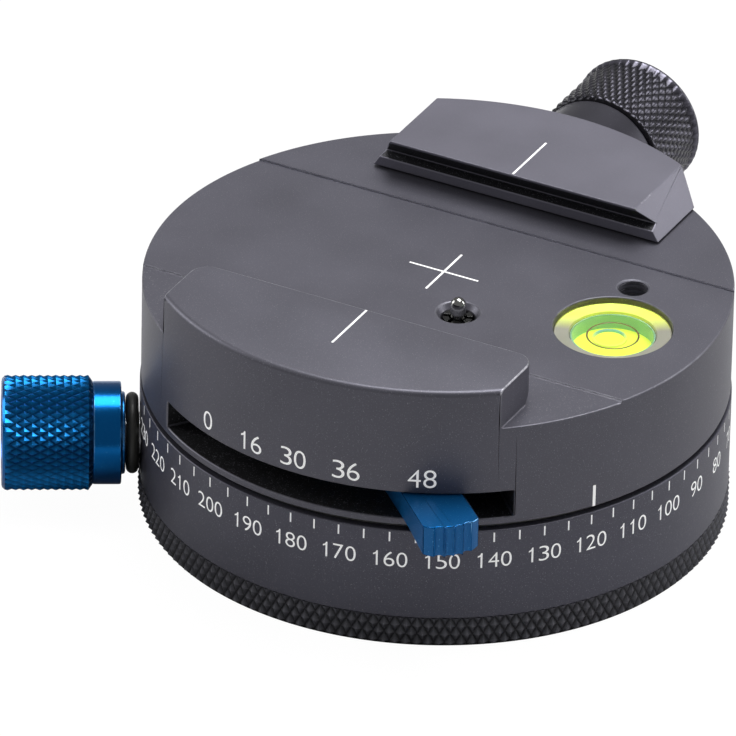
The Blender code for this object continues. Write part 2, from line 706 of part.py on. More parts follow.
def cut_rotor_fittings(rotor):
    """Recess of the level, sleeve hole, spare hole, notch and bores of the clamp, brake ring taps."""
    top = SEAT_HEIGHT + OVERRUN
    boolean(rotor, rod("level_recess", LEVEL_RECESS_RADIUS, LEVEL_FLOOR, top, KNOB_STEPS, place=LEVEL_PLACE))
    sleeve = SLEEVE_RADIUS + SEAT_GAP
    sink_bottom = SEAT_HEIGHT - PIN_SINK_DEPTH
    slope = (PIN_SINK_RADIUS - sleeve) / PIN_SINK_DEPTH
    pin_hole = [
        (0.0, top),
        (PIN_SINK_RADIUS + slope * OVERRUN, top),
        (sleeve, sink_bottom),
        (sleeve, SLEEVE_BOTTOM - SEAT_GAP),
        (0.0, SLEEVE_BOTTOM - SEAT_GAP),
    ]
    boolean(rotor, turned("pin_hole", pin_hole, SMALL_STEPS, False, place=PIN_PLACE))
    spare = [
        (0.0, top),
        (SPARE_HOLE_RADIUS + SPARE_HOLE_SINK + OVERRUN, top),
        (SPARE_HOLE_RADIUS, SEAT_HEIGHT - SPARE_HOLE_SINK),
        (SPARE_HOLE_RADIUS, SEAT_HEIGHT - SPARE_HOLE_DEPTH),
        (0.0, SEAT_HEIGHT - SPARE_HOLE_DEPTH),
    ]
    boolean(rotor, turned("spare_hole", spare, SMALL_STEPS, False, place=SPARE_HOLE_PLACE))
    notch = box_mesh("notch", (-NOTCH_HALF_WIDTH, NOTCH_FRONT, NOTCH_FLOOR),
                     (NOTCH_HALF_WIDTH, ROTOR_RADIUS + OVERRUN, JAW_TOP))
    boolean(rotor, add_object("notch", notch))
    screw_end = CLAMP_KNOB_START + KNOB_SCREW_GRIP - SEAT_GAP - CLAMP_SCREW_LENGTH - JAW_CLOSING - SEAT_GAP
    boolean(rotor, rod("clamp_tap", CLAMP_SCREW_RADIUS + SEAT_GAP, screw_end, NOTCH_FRONT + OVERRUN,
                       SMALL_STEPS, carrier=CLAMP))
    pin_end = LEG_FRONT + GUIDE_PIN_GRIP - SEAT_GAP - GUIDE_PIN_LENGTH - JAW_CLOSING - SEAT_GAP
    for side in (-1, 1):
        boolean(rotor, rod(f"guide_bore_{side}", GUIDE_PIN_RADIUS + SEAT_GAP, pin_end,
                           NOTCH_FRONT + OVERRUN, SCREW_STEPS, carrier=CLAMP,
                           place=(side * GUIDE_PIN_OFFSET, 0.0, 0.0)))
    for i, place in enumerate(brake_screw_places()):
        boolean(rotor, rod(f"brake_tap_{i + 1}", BRAKE_SCREW_RADIUS + SEAT_GAP, ROTOR_BOTTOM - OVERRUN,
                           brake_screw_top() + SEAT_GAP, SCREW_STEPS, place=place))


def make_rotor():
    bolt_bore = BOLT_RADIUS + SEAT_GAP
    bore_top = BOLT_HEAD_TOP + BOLT_LENGTH + SEAT_GAP
    profile = [
        (0.0, JAW_TOP),
        (ROTOR_RADIUS - FIXED_EDGE, JAW_TOP),
        (ROTOR_RADIUS, JAW_TOP - FIXED_EDGE),
        (ROTOR_RADIUS, ROTOR_BOTTOM + ROTOR_EDGE),
        (ROTOR_RADIUS - ROTOR_EDGE, ROTOR_BOTTOM),
        (HUB_FLANGE_RADIUS, ROTOR_BOTTOM),
        (HUB_FLANGE_RADIUS, HUB_BOTTOM),
        (JOURNAL_RADIUS, HUB_BOTTOM),
        (JOURNAL_RADIUS, JOURNAL_END),
        (bolt_bore, JOURNAL_END),
        (bolt_bore, bore_top),
        (0.0, bore_top),
    ]
    rotor = turned("rotor_body", profile, BIG_STEPS, False, look=ANODISED, carrier=PAN)
    cut_rotor_top(rotor)
    cut_lever_pocket(rotor)
    cut_rotor_fittings(rotor)


def brake_screw_places():
    for i, quarter in enumerate((0.0, math.pi, math.pi, 2 * math.pi)):
        sign = 1 if i % 2 == 0 else -1
        yield polar(BRAKE_SCREW_CIRCLE, quarter + sign * BRAKE_SCREW_ANGLE)


def brake_flange_top():
    return ROTOR_BOTTOM - SEAT_GAP


def brake_flange_bottom():
    return brake_flange_top() - BRAKE_FLANGE_THICKNESS


def brake_screw_top():
    return brake_flange_bottom() + SEAT_GAP + BRAKE_SCREW_LENGTH


def countersunk(radius, head_radius, rim, head_bottom, top, grow):
    """Profile of a countersunk screw that points up, or of its hole when grown."""
    cone = head_radius - radius
    return [
        (0.0, top + grow),
        (radius + grow, top + grow),
        (radius + grow, head_bottom + rim + cone + grow),
        (head_radius + grow, head_bottom + rim + grow),
        (head_radius + grow, head_bottom - grow),
        (0.0, head_bottom - grow),
    ]


def make_brake_ring():
    inner = BRAKE_RADIUS - BRAKE_WALL
    profile = [
        (inner, brake_flange_top()),
        (BRAKE_FLANGE_RADIUS, brake_flange_top()),
        (BRAKE_FLANGE_RADIUS, brake_flange_bottom()),
        (BRAKE_RADIUS, brake_flange_bottom()),
        (BRAKE_RADIUS, CHANNEL_FLOOR + SEAT_GAP),
        (inner, CHANNEL_FLOOR + SEAT_GAP),
    ]
    ring = turned("brake_ring", profile, RING_STEPS, look=ANODISED_WALL, carrier=PAN)
    head_bottom = brake_flange_bottom() + SEAT_GAP
    sizes = (BRAKE_SCREW_RADIUS, BRAKE_SCREW_HEAD_RADIUS, BRAKE_SCREW_HEAD_RIM, head_bottom)
    hole = countersunk(*sizes, brake_screw_top(), SEAT_GAP)
    hole[-2:] = [(hole[-2][0], head_bottom - OVERRUN), (0.0, head_bottom - OVERRUN)]
    screw = countersunk(*sizes, brake_screw_top(), 0.0)
    for i, place in enumerate(brake_screw_places()):
        boolean(ring, turned(f"brake_screw_hole_{i + 1}", hole, SCREW_STEPS, False, place=place))
        turned(f"brake_screw_{i + 1}", screw, SCREW_STEPS, False, look=STEEL, carrier=PAN, place=place)


def make_brake_shoe():
    """A curved pad between the brake ring and the base's wall, pressed in by the lock screw."""
    half = math.asin(SHOE_HALF_WIDTH / SHOE_OUTER)
    count = 9
    plan = arc((0.0, 0.0), SHOE_OUTER, -half, half, count) + arc((0.0, 0.0), SHOE_INNER, half, -half, count)
    shoe = outline_mesh("brake_shoe", plan, 2 * SHOE_HALF_HEIGHT)
    add_object("brake_shoe", shoe, look=BRONZE, place=(0.0, 0.0, LOCK_HEIGHT), turn=LOCK_ANGLE)


def knob_profile(start, step, collar, knurl, bore, grip):
    """Profile of a turned knob along its axis, from its outer end back to its front face.

    step, collar and knurl are (radius, length) pairs, from the front face outwards.
    """
    step_end = start + step[1]
    collar_end = step_end + collar[1]
    end = collar_end + knurl[1]
    rounding = arc((knurl[0] - KNOB_ROUNDING, end - KNOB_ROUNDING), KNOB_ROUNDING, math.pi / 2, 0.0, 3)
    profile = [(0.0, end - KNOB_END_DISH), (knurl[0] - 3 * KNOB_ROUNDING, end - KNOB_END_DISH)]
    profile += [(knurl[0] - 2 * KNOB_ROUNDING, end)] + rounding
    profile += [
        (knurl[0], collar_end + KNOB_BEVEL),
        (collar[0], collar_end),
        (collar[0], step_end + KNOB_BEVEL / 4),
        (collar[0] - KNOB_BEVEL / 4, step_end),
    ]
    if step[1] > 0.0:
        profile += [(step[0], step_end), (step[0] - KNOB_BEVEL / 2, start)]
    profile += [(bore, start), (bore, start + grip), (0.0, start + grip)]
    return profile


def make_pan_lock():
    tip = LOCK_SCREW_TIP
    bore = LOCK_SCREW_RADIUS + SEAT_GAP
    screw_end = LOCK_STEP_START + KNOB_SCREW_GRIP - SEAT_GAP
    rod("lock_screw", LOCK_SCREW_RADIUS, tip, screw_end, SMALL_STEPS, look=STEEL, carrier=LOCK)
    profile = knob_profile(LOCK_STEP_START, (LOCK_STEP_RADIUS, LOCK_STEP_LENGTH),
                           (LOCK_COLLAR_RADIUS, LOCK_COLLAR_LENGTH),
                           (LOCK_KNURL_RADIUS, LOCK_KNURL_LENGTH), bore, KNOB_SCREW_GRIP)
    turned("lock_knob", profile, KNOB_STEPS, False, look=BLUE, carrier=LOCK)
    ring_end = LOCK_STEP_START - LOCK_RING_GAP
    middle = ring_end - LOCK_RING_LENGTH / 2
    bulge = arc((LOCK_RING_RADIUS - LOCK_RING_LENGTH / 2, middle), LOCK_RING_LENGTH / 2,
                math.pi / 2, -math.pi / 2, 5)
    ring = [(bore, ring_end)] + bulge + [(bore, ring_end - LOCK_RING_LENGTH)]
    turned("lock_ring", ring, SMALL_STEPS, look=RUBBER, carrier=LOCK)


def grip_front():
    """Front edge of the lever's tab: rounded corners and a bulged row of flutes between them."""
    flat = LEVER_HALF_WIDTH - LEVER_CORNER
    count = FLUTE_COUNT * FLUTE_POINTS
    start = arc((LEVER_REACH - LEVER_CORNER, -flat), LEVER_CORNER, -math.pi / 2, -math.pi / 6, 4)
    flutes = []
    for i in range(1, count):
        share = 2 * i / count - 1
        wave = abs(math.sin(math.pi * i / FLUTE_POINTS))
        x = LEVER_REACH + LEVER_BULGE * (1 - share * share) - FLUTE_DEPTH * wave
        flutes.append((x, flat * share))
    end = arc((LEVER_REACH - LEVER_CORNER, flat), LEVER_CORNER, math.pi / 6, math.pi / 2, 4)
    return start + flutes + end


def make_stop_lever():
    root = math.asin(LEVER_HALF_WIDTH / LEVER_DISC_RADIUS)
    plan = grip_front() + arc((0.0, 0.0), LEVER_DISC_RADIUS, root, 2 * math.pi - root, 33)
    bottom = LEVER_BOTTOM - LEVER_GRIP_DROP
    lever = add_object("stop_lever", outline_mesh("stop_lever", plan, LEVER_TOP - bottom), look=BLUE,
                       carrier=LEVER, place=(0.0, 0.0, (LEVER_TOP + bottom) / 2))
    front = LEVER_REACH + LEVER_BULGE
    under = [
        (-LEVER_DISC_RADIUS - OVERRUN, bottom - OVERRUN),
        (front + OVERRUN, bottom - OVERRUN),
        (front + OVERRUN, bottom),
        (front, bottom),
        (LEVER_GRIP_START, LEVER_BOTTOM),
        (-LEVER_DISC_RADIUS - OVERRUN, LEVER_BOTTOM),
    ]
    relief = add_object("lever_relief", outline_mesh("lever_relief", under, 4 * LEVER_DISC_RADIUS),
                        carrier=LEVER)
    relief.rotation_euler = (math.pi / 2, 0.0, 0.0)
    boolean(lever, relief)
    low, high = bottom - OVERRUN, LEVER_TOP + OVERRUN
    boolean(lever, rod("lever_bore", LEVER_SCREW_RADIUS + SEAT_GAP, low, high, SMALL_STEPS, carrier=LEVER))
    boolean(lever, rod("plunger_bore", PLUNGER_RADIUS + SEAT_GAP, low, high, SCREW_STEPS,
                       carrier=LEVER, place=polar(PLUNGER_ARM, PLUNGER_LEAD)))
    for stop, angle in STOP_ANGLES.items():
        pit = [
            (0.0, LEVER_TOP + OVERRUN),
            (SELECT_PIT_DEPTH + OVERRUN, LEVER_TOP + OVERRUN),
            (0.0, LEVER_TOP - SELECT_PIT_DEPTH),
        ]
        place = polar(SELECT_ARM, math.pi / 2 - angle)
        boolean(lever, turned(f"stop_pit_{stop}", pit, 8, False, carrier=LEVER, place=place))
    head_top = LEVER_BOTTOM - SEAT_GAP
    head_bottom = head_top - LEVER_SCREW_HEAD_HEIGHT
    shank_top = POCKET_TOP + LEVER_SCREW_BITE
    screw = [
        (0.0, shank_top),
        (LEVER_SCREW_RADIUS, shank_top),
        (LEVER_SCREW_RADIUS, head_top),
        (LEVER_SCREW_HEAD_RADIUS, head_top),
        (LEVER_SCREW_HEAD_RADIUS, head_bottom),
        (0.0, head_bottom),
    ]
    turned("lever_screw", screw, SMALL_STEPS, False, look=STEEL, carrier=PAN, place=LEVER_PIVOT)


def make_detents():
    tip = INDEX_TOP + SEAT_GAP
    top = tip + PLUNGER_LENGTH
    plunger = [
        (0.0, top),
        (PLUNGER_RADIUS, top),
        (PLUNGER_RADIUS, tip + PLUNGER_RADIUS - PLUNGER_TIP),
        (PLUNGER_TIP, tip),
        (0.0, tip),
    ]
    place = polar(PLUNGER_ARM, PLUNGER_LEAD)
    turned("detent_plunger", plunger, SCREW_STEPS, False, look=HARD_STEEL, carrier=LEVER, place=place)
    coil = PLUNGER_RADIUS - SPRING_WIRE
    spring = spring_mesh("detent_spring", coil, DETENT_SPRING_LENGTH)
    add_object("detent_spring", spring, look=STEEL, carrier=LEVER,
               place=place + Vector((0.0, 0.0, top + SEAT_GAP)))
    select = LEVER_PIVOT + Vector((0.0, SELECT_ARM, POCKET_TOP + SELECT_BALL_RADIUS))
    ball = bmesh.new()
    bmesh.ops.create_uvsphere(ball, u_segments=10, v_segments=6, radius=SELECT_BALL_RADIUS)
    mesh = bpy.data.meshes.new("select_ball")
    ball.to_mesh(mesh)
    ball.free()
    add_object("select_ball", mesh, look=HARD_STEEL, carrier=PAN, place=select)
    above = select + Vector((0.0, 0.0, SELECT_BALL_RADIUS + SEAT_GAP))
    spring = spring_mesh("select_spring", SELECT_BALL_RADIUS - SPRING_WIRE, SELECT_SPRING_LENGTH)
    add_object("select_spring", spring, look=STEEL, carrier=PAN, place=above)


def make_safety_pin():
    bore = SLEEVE_RADIUS - SLEEVE_WALL
    floor = SLEEVE_BOTTOM + SLEEVE_FLOOR
    lip = SLEEVE_TOP - SLEEVE_LIP
    sleeve = [
        (SLEEVE_LIP_BORE, SLEEVE_TOP),
        (SLEEVE_RADIUS, SLEEVE_TOP),
        (SLEEVE_RADIUS, SLEEVE_BOTTOM),
        (0.0, SLEEVE_BOTTOM),
        (0.0, floor),
        (bore, floor),
        (bore, lip),
        (SLEEVE_LIP_BORE, lip),
    ]
    turned("pin_sleeve", sleeve, SMALL_STEPS, look=STEEL, carrier=PIN)
    shoulder_top = lip - SEAT_GAP
    shoulder_bottom = shoulder_top - PIN_SHOULDER_LENGTH
    dome = arc((0.0, SEAT_HEIGHT + PIN_PROUD - PIN_RADIUS), PIN_RADIUS, math.pi / 2, 0.0, 6)
    pin = [(0.0, dome[0][1])] + dome[1:]
    pin += [
        (PIN_RADIUS, shoulder_top),
        (PIN_SHOULDER_RADIUS, shoulder_top),
        (PIN_SHOULDER_RADIUS, shoulder_bottom),
        (0.0, shoulder_bottom),
    ]
    turned("safety_pin", pin, SMALL_STEPS, False, look=STEEL, carrier=PIN)
    length = shoulder_bottom - floor - 2 * SEAT_GAP
    spring = spring_mesh("pin_spring", PIN_SPRING_RADIUS, length)
    add_object("pin_spring", spring, look=STEEL, carrier=PIN, place=(0.0, 0.0, floor + SEAT_GAP))


def make_level():
    turned("level_base", disc_profile(VIAL_RADIUS, LEVEL_BASE_BOTTOM, LEVEL_BASE_TOP), KNOB_STEPS, False,
           look=LEVEL_YELLOW, carrier=PAN, place=LEVEL_PLACE)
    ceiling = VIAL_TOP - VIAL_WINDOW
    vial = [
        (0.0, VIAL_TOP),
        (VIAL_RADIUS - VIAL_EDGE, VIAL_TOP),
        (VIAL_RADIUS, VIAL_TOP - VIAL_EDGE),
        (VIAL_RADIUS, VIAL_BOTTOM),
        (VIAL_BORE, VIAL_BOTTOM),
        (VIAL_BORE, ceiling),
        (0.0, ceiling),
    ]
    turned("level_vial", vial, KNOB_STEPS, False, look=CLEAR, carrier=PAN, place=LEVEL_PLACE)
    liquid = disc_profile(VIAL_BORE - LEVEL_LINE_GAP, VIAL_BOTTOM, ceiling - LEVEL_LINE_GAP)
    turned("level_liquid", liquid, KNOB_STEPS, False, look=LEVEL_LIQUID, carrier=PAN, place=LEVEL_PLACE)


def make_movable_jaw():
    back = ROTOR_RADIUS + OVERRUN
    groove_top = JAW_TOP - MOVING_LAND
    lower_lip = MOVING_LIP + LOWER_LIP_SETBACK
    lower_lip_top = JAW_BOTTOM + LOWER_LIP_HEIGHT
    profile = [
        (MOVING_LIP, JAW_TOP),
        (MOVING_LIP, groove_top),
        (MOVING_LIP + GROOVE_DEPTH, groove_top - GROOVE_DEPTH),
        (lower_lip + (GROOVE_DEPTH - LOWER_LIP_SETBACK), lower_lip_top + GROOVE_FLOOR_RISE),
        (lower_lip, lower_lip_top),
        (lower_lip, JAW_BOTTOM),
        (back, JAW_BOTTOM),
        (back, JAW_TOP),
    ]
    jaw = prism_along_x("movable_jaw", profile, 2 * MOVING_FOOT_HALF, look=ANODISED, carrier=JAW)
    leg = box_mesh("jaw_leg", (-LEG_HALF_WIDTH, LEG_FRONT, LEG_BOTTOM),
                   (LEG_HALF_WIDTH, back, JAW_BOTTOM + OVERRUN / 2))
    boolean(jaw, add_object("jaw_leg", leg), "UNION")
    boolean(jaw, rod("jaw_outline", ROTOR_RADIUS, 0.0, JAW_TOP + OVERRUN, BIG_STEPS), "INTERSECT")
    lean = (MOVING_FOOT_HALF - MOVING_TOP_HALF) / (JAW_TOP - JAW_BOTTOM)
    for side in (-1, 1):
        slope = [
            (side * (MOVING_FOOT_HALF + lean * OVERRUN), JAW_BOTTOM - OVERRUN),
            (side * (MOVING_TOP_HALF - lean * OVERRUN), JAW_TOP + OVERRUN),
            (side * (BASE_RADIUS + OVERRUN), JAW_TOP + OVERRUN),
            (side * (BASE_RADIUS + OVERRUN), JAW_BOTTOM - OVERRUN),
        ]
        end = add_object(f"jaw_end_{side}", outline_mesh(f"jaw_end_{side}", slope, 4 * BASE_RADIUS))
        end.rotation_euler = (math.pi / 2, 0.0, 0.0)
        boolean(jaw, end)
    boolean(jaw, rod("spot_face", SPOT_RADIUS, SPOT_FACE, ROTOR_RADIUS + OVERRUN, KNOB_STEPS, carrier=CLAMP))
    boolean(jaw, rod("screw_clearance", CLAMP_SCREW_RADIUS + SEAT_GAP, LEG_FRONT - OVERRUN,
                     ROTOR_RADIUS + OVERRUN, SMALL_STEPS, carrier=CLAMP))
    for i, side in enumerate((-1, 1)):
        place = (side * GUIDE_PIN_OFFSET, 0.0, 0.0)
        end = LEG_FRONT + GUIDE_PIN_GRIP
        boolean(jaw, rod(f"pin_grip_{i + 1}", GUIDE_PIN_RADIUS + SEAT_GAP, LEG_FRONT - OVERRUN, end,
                         SCREW_STEPS, carrier=CLAMP, place=place))
        rod(f"guide_pin_{i + 1}", GUIDE_PIN_RADIUS, end - SEAT_GAP - GUIDE_PIN_LENGTH, end - SEAT_GAP,
            SCREW_STEPS, look=STEEL, carrier=CLAMP, place=place)


def make_clamp_screw():
    bore = CLAMP_SCREW_RADIUS + SEAT_GAP
    washer = ring_profile(bore, CLAMP_WASHER_RADIUS, CLAMP_WASHER_START,
                          CLAMP_WASHER_START + CLAMP_WASHER_THICKNESS)
    turned("clamp_washer", washer, SMALL_STEPS, look=STEEL, carrier=CLAMP)
    screw_end = CLAMP_KNOB_START + KNOB_SCREW_GRIP - SEAT_GAP
    rod("clamp_screw", CLAMP_SCREW_RADIUS, screw_end - CLAMP_SCREW_LENGTH, screw_end, SMALL_STEPS,
        look=STEEL, carrier=CLAMP)
    profile = knob_profile(CLAMP_KNOB_START, (0.0, 0.0), (CLAMP_COLLAR_RADIUS, CLAMP_COLLAR_LENGTH),
                           (CLAMP_KNURL_RADIUS, CLAMP_KNURL_LENGTH), bore, KNOB_SCREW_GRIP)
    turned("clamp_knob", profile, KNOB_STEPS, False, look=BLACK_KNOB, carrier=CLAMP)


make_base()
make_glide_ring()
make_tripod_bush()
make_pivot()
make_index_disc()
make_rotor()
make_brake_ring()
make_brake_shoe()
make_pan_lock()
make_stop_lever()
make_detents()
make_safety_pin()
make_level()
make_movable_jaw()
make_clamp_screw()

for made in PARTS.objects:
    if made.type == "MESH":
        shade(made)
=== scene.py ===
import math

import bpy
from mathutils import Euler, Matrix, Vector


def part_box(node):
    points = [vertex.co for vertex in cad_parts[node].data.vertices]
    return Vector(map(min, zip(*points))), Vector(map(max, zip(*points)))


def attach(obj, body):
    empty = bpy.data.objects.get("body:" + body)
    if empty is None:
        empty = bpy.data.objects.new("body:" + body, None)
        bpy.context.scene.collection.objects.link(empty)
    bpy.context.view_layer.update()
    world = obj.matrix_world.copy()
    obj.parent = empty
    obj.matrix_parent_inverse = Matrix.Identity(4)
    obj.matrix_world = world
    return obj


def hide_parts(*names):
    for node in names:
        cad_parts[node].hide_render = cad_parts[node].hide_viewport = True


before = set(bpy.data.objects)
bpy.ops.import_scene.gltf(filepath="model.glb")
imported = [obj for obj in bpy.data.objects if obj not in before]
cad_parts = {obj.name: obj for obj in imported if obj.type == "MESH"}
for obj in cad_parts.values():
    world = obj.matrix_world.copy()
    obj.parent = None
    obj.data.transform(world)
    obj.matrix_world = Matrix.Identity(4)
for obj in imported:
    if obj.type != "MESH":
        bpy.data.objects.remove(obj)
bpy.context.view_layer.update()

mm = 0.001
over = mm  # how far a cutter runs past what it cuts
near = 0.05 * mm  # within this, two places count as one
tau = 2 * math.pi
print("frame loaded")


# selecting and placing

def deselectAll():
    if bpy.context.object is not None and bpy.context.object.mode != "OBJECT":
        bpy.ops.object.mode_set(mode="OBJECT")
    bpy.ops.object.select_all(action="DESELECT")


def leaveEdit():
    bpy.ops.object.mode_set(mode="OBJECT")


def named(name):
    piece = bpy.context.object
    piece.name = name
    return piece


def makeActive(piece):
    deselectAll()
    piece.select_set(True)
    bpy.context.view_layer.objects.active = piece


def freeze():
    bpy.ops.object.transform_apply(location=True, rotation=True, scale=True)


def settle(piece, place=(0, 0, 0), turn=(0, 0, 0)):
    # moves a piece from its own axes to its place and writes that into its mesh
    makeActive(piece)
    piece.rotation_euler = turn
    piece.location = Vector(place)
    freeze()
    return piece


def copyOf(piece, name):
    makeActive(piece)
    bpy.ops.object.duplicate(linked=False)
    return named(name)


def joinAll(pieces, name):
    makeActive(pieces[0])
    for piece in pieces:
        piece.select_set(True)
    bpy.ops.object.join()
    return named(name)


def edit(piece, action="SELECT"):
    makeActive(piece)
    bpy.ops.object.mode_set(mode="EDIT")
    bpy.ops.mesh.select_all(action=action)


def selectFaces(piece, chosen):
    # back in edit mode with only the chosen faces selected
    leaveEdit()
    for point in piece.data.vertices:
        point.select = False
    for edge in piece.data.edges:
        edge.select = False
    for face in piece.data.polygons:
        face.select = chosen(face)
    bpy.ops.object.mode_set(mode="EDIT")


# shaping

def turned(name, profile, sides=256, hollow=False):
    # a ring of points drawn along a (radius, height) profile. A hollow profile closes on itself
    deselectAll()
    radius, height = profile[0]
    fill = "NOTHING" if hollow else "NGON"
    bpy.ops.mesh.primitive_circle_add(vertices=sides, radius=radius, fill_type=fill,
                                      location=(0, 0, height))
    piece = named(name)
    freeze()
    edit(piece)
    for (wasRadius, wasHeight), (radius, height) in zip(profile, profile[1:]):
        bpy.ops.mesh.extrude_region_move(TRANSFORM_OT_translate={"value": (0, 0, height - wasHeight)})
        share = radius / wasRadius
        bpy.ops.transform.resize(value=(share, share, 1), center_override=(0, 0, height))
    if hollow:
        bpy.ops.mesh.select_all(action="DESELECT")
        bpy.ops.mesh.select_mode(type="EDGE")
        bpy.ops.mesh.select_non_manifold(extend=False)
        bpy.ops.mesh.bridge_edge_loops()
        bpy.ops.mesh.select_mode(type="VERT")
    bpy.ops.mesh.select_all(action="SELECT")
    bpy.ops.mesh.normals_make_consistent(inside=False)
    leaveEdit()
    return piece


def rod(name, radius, bottom, top, sides=64, place=(0, 0, 0), turn=(0, 0, 0)):
    return settle(turned(name, [(radius, bottom), (radius, top)], sides), place, turn)


def block(name, low, high):
    deselectAll()
    low, high = Vector(low), Vector(high)
    bpy.ops.mesh.primitive_cube_add(size=1, location=(low + high) / 2, scale=high - low)
    piece = named(name)
    freeze()
    return piece


def prism(name, outline, length, place=(0, 0, 0), turn=(0, 0, 0)):
    # a flat outline in X and Y, drawn out to half its length each way
    deselectAll()
    bpy.ops.mesh.primitive_circle_add(vertices=len(outline), radius=mm, fill_type="NGON")
    piece = named(name)
    for point, (x, y) in zip(piece.data.vertices, outline):
        point.co = (x, y, -length / 2)
    edit(piece)
    bpy.ops.mesh.extrude_region_move(TRANSFORM_OT_translate={"value": (0, 0, length)})
    bpy.ops.mesh.select_all(action="SELECT")
    bpy.ops.mesh.normals_make_consistent(inside=False)
    leaveEdit()
    return settle(piece, place, turn)


def applyChange(piece, kind, **values):
    makeActive(piece)
    bpy.ops.object.modifier_add(type=kind)
    change = piece.modifiers[-1]
    for key, value in values.items():
        setattr(change, key, value)
    bpy.ops.object.modifier_apply(modifier=change.name)


def combine(piece, tool, operation="DIFFERENCE"):
    applyChange(piece, "BOOLEAN", operation=operation, solver="EXACT", object=tool)
    bpy.data.objects.remove(tool, do_unlink=True)


def mergeClose(piece, distance=0.01 * mm):
    edit(piece)
    bpy.ops.mesh.remove_doubles(threshold=distance)
    bpy.ops.mesh.dissolve_limited(angle_limit=math.radians(0.05))
    leaveEdit()


def breakEdges(piece, width, worn=False, segments=2):
    # small rounds on all the sharp edges. Worn ones take the piece's second material
    mergeClose(piece)
    makeActive(piece)
    bpy.ops.object.shade_smooth()
    applyChange(piece, "BEVEL", width=width, segments=segments, limit_method="ANGLE",
                angle_limit=math.radians(28), use_clamp_overlap=False, harden_normals=True,
                material=1 if worn else -1, miter_outer="MITER_ARC")


def smooth(piece, angle=30):
    makeActive(piece)
    bpy.ops.object.shade_smooth_by_angle(angle=math.radians(angle))


def paint(piece, *looks):
    for look in looks:
        piece.data.materials.append(look)


def finish(piece, body, nodes=(), looks=()):
    paint(piece, *looks)
    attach(piece, body)
    if nodes:
        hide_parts(*nodes)


# materials

def newGroup(name, inputs, outputs):
    # an input is a number, or None for a vector
    group = bpy.data.node_groups.new(name, "ShaderNodeTree")
    for label, value in inputs.items():
        kind = "NodeSocketVector" if value is None else "NodeSocketFloat"
        made = group.interface.new_socket(name=label, in_out="INPUT", socket_type=kind)
        if value is not None:
            made.default_value = value
    for label in outputs:
        group.interface.new_socket(name=label, in_out="OUTPUT", socket_type="NodeSocketFloat")
    return group, group.nodes.new("NodeGroupInput").outputs, group.nodes.new("NodeGroupOutput").inputs


def addNode(tree, kind, values=(), **settings):
    # each value is a number or another node's output
    node = tree.nodes.new(kind)
    for key, value in settings.items():
        setattr(node, key, value)
    for key, value in dict(values).items():
        if isinstance(value, bpy.types.NodeSocket):
            tree.links.new(value, node.inputs[key])
        else:
            node.inputs[key].default_value = value
    return node.outputs


def send(tree, sockets, **values):
    for key, value in values.items():
        tree.links.new(value, sockets[key.replace("_", " ")])


def arithmetic(tree, operation, *values):
    return addNode(tree, "ShaderNodeMath", enumerate(values), operation=operation)[0]


def vectorMath(tree, operation, *values):
    return addNode(tree, "ShaderNodeVectorMath", enumerate(values), operation=operation)


def remap(tree, value, fromLow, fromHigh, low=0.0, high=1.0):
    return addNode(tree, "ShaderNodeMapRange", {
        "Value": value, "From Min": fromLow, "From Max": fromHigh, "To Min": low, "To Max": high})["Result"]


def noise(tree, vector, **values):
    return addNode(tree, "ShaderNodeTexNoise", {"Vector": vector, **values})["Fac"]


def mixColours(tree, factor, first, second):
    first, second = ((*end, 1.0) if isinstance(end, tuple) else end for end in (first, second))
    ends = {"Factor": factor, "A": first, "B": second}
    return addNode(tree, "ShaderNodeMix", ends, data_type="RGBA")["Result"]


def useGroup(tree, group, **values):
    values = {key.replace("_", " "): value for key, value in values.items()}
    return addNode(tree, "ShaderNodeGroup", values, node_tree=group)


def buildGrain():
    # blasted and anodised skin: a fine tooth, sparse bright specks and slow clouds
    group, given, out = newGroup("blasted grain", {"Vector": None, "Size": 0.25, "Speck limit": 0.7},
                                 ["Speck", "Cloud", "Height"])
    place = given["Vector"]
    scale = arithmetic(group, "DIVIDE", 1 / mm, given["Size"])
    spots = noise(group, place, Scale=scale, Detail=0.0)
    send(group, out, Speck=remap(group, spots, given["Speck limit"], 0.85),
         Cloud=noise(group, place, Scale=90.0, Detail=4.0),
         Height=noise(group, place, Scale=scale, Detail=3.0, Roughness=0.6))
    return group


def buildWear():
    # bare metal along an edge, broken up so that it comes and goes
    group, given, out = newGroup("edge wear", {"Vector": None, "Amount": 0.5}, ["Mask"])
    fine = noise(group, given["Vector"], Scale=900.0, Detail=5.0, Roughness=0.7)
    wide = noise(group, given["Vector"], Scale=110.0, Detail=2.0)
    raised = arithmetic(group, "ADD", arithmetic(group, "ADD", fine, wide), given["Amount"])
    send(group, out, Mask=remap(group, raised, 1.25, 1.75))
    return group


def buildTurning():
    # fine lines left by a lathe across a distance
    group, given, out = newGroup("lathe lines", {"Distance": 0.0, "Pitch": 0.15}, ["Height"])
    scale = arithmetic(group, "DIVIDE", 1 / mm, given["Pitch"])
    lines = addNode(group, "ShaderNodeTexNoise", {
        "W": given["Distance"], "Scale": scale, "Detail": 3.0, "Roughness": 0.7}, noise_dimensions="1D")
    send(group, out, Height=lines["Fac"])
    return group


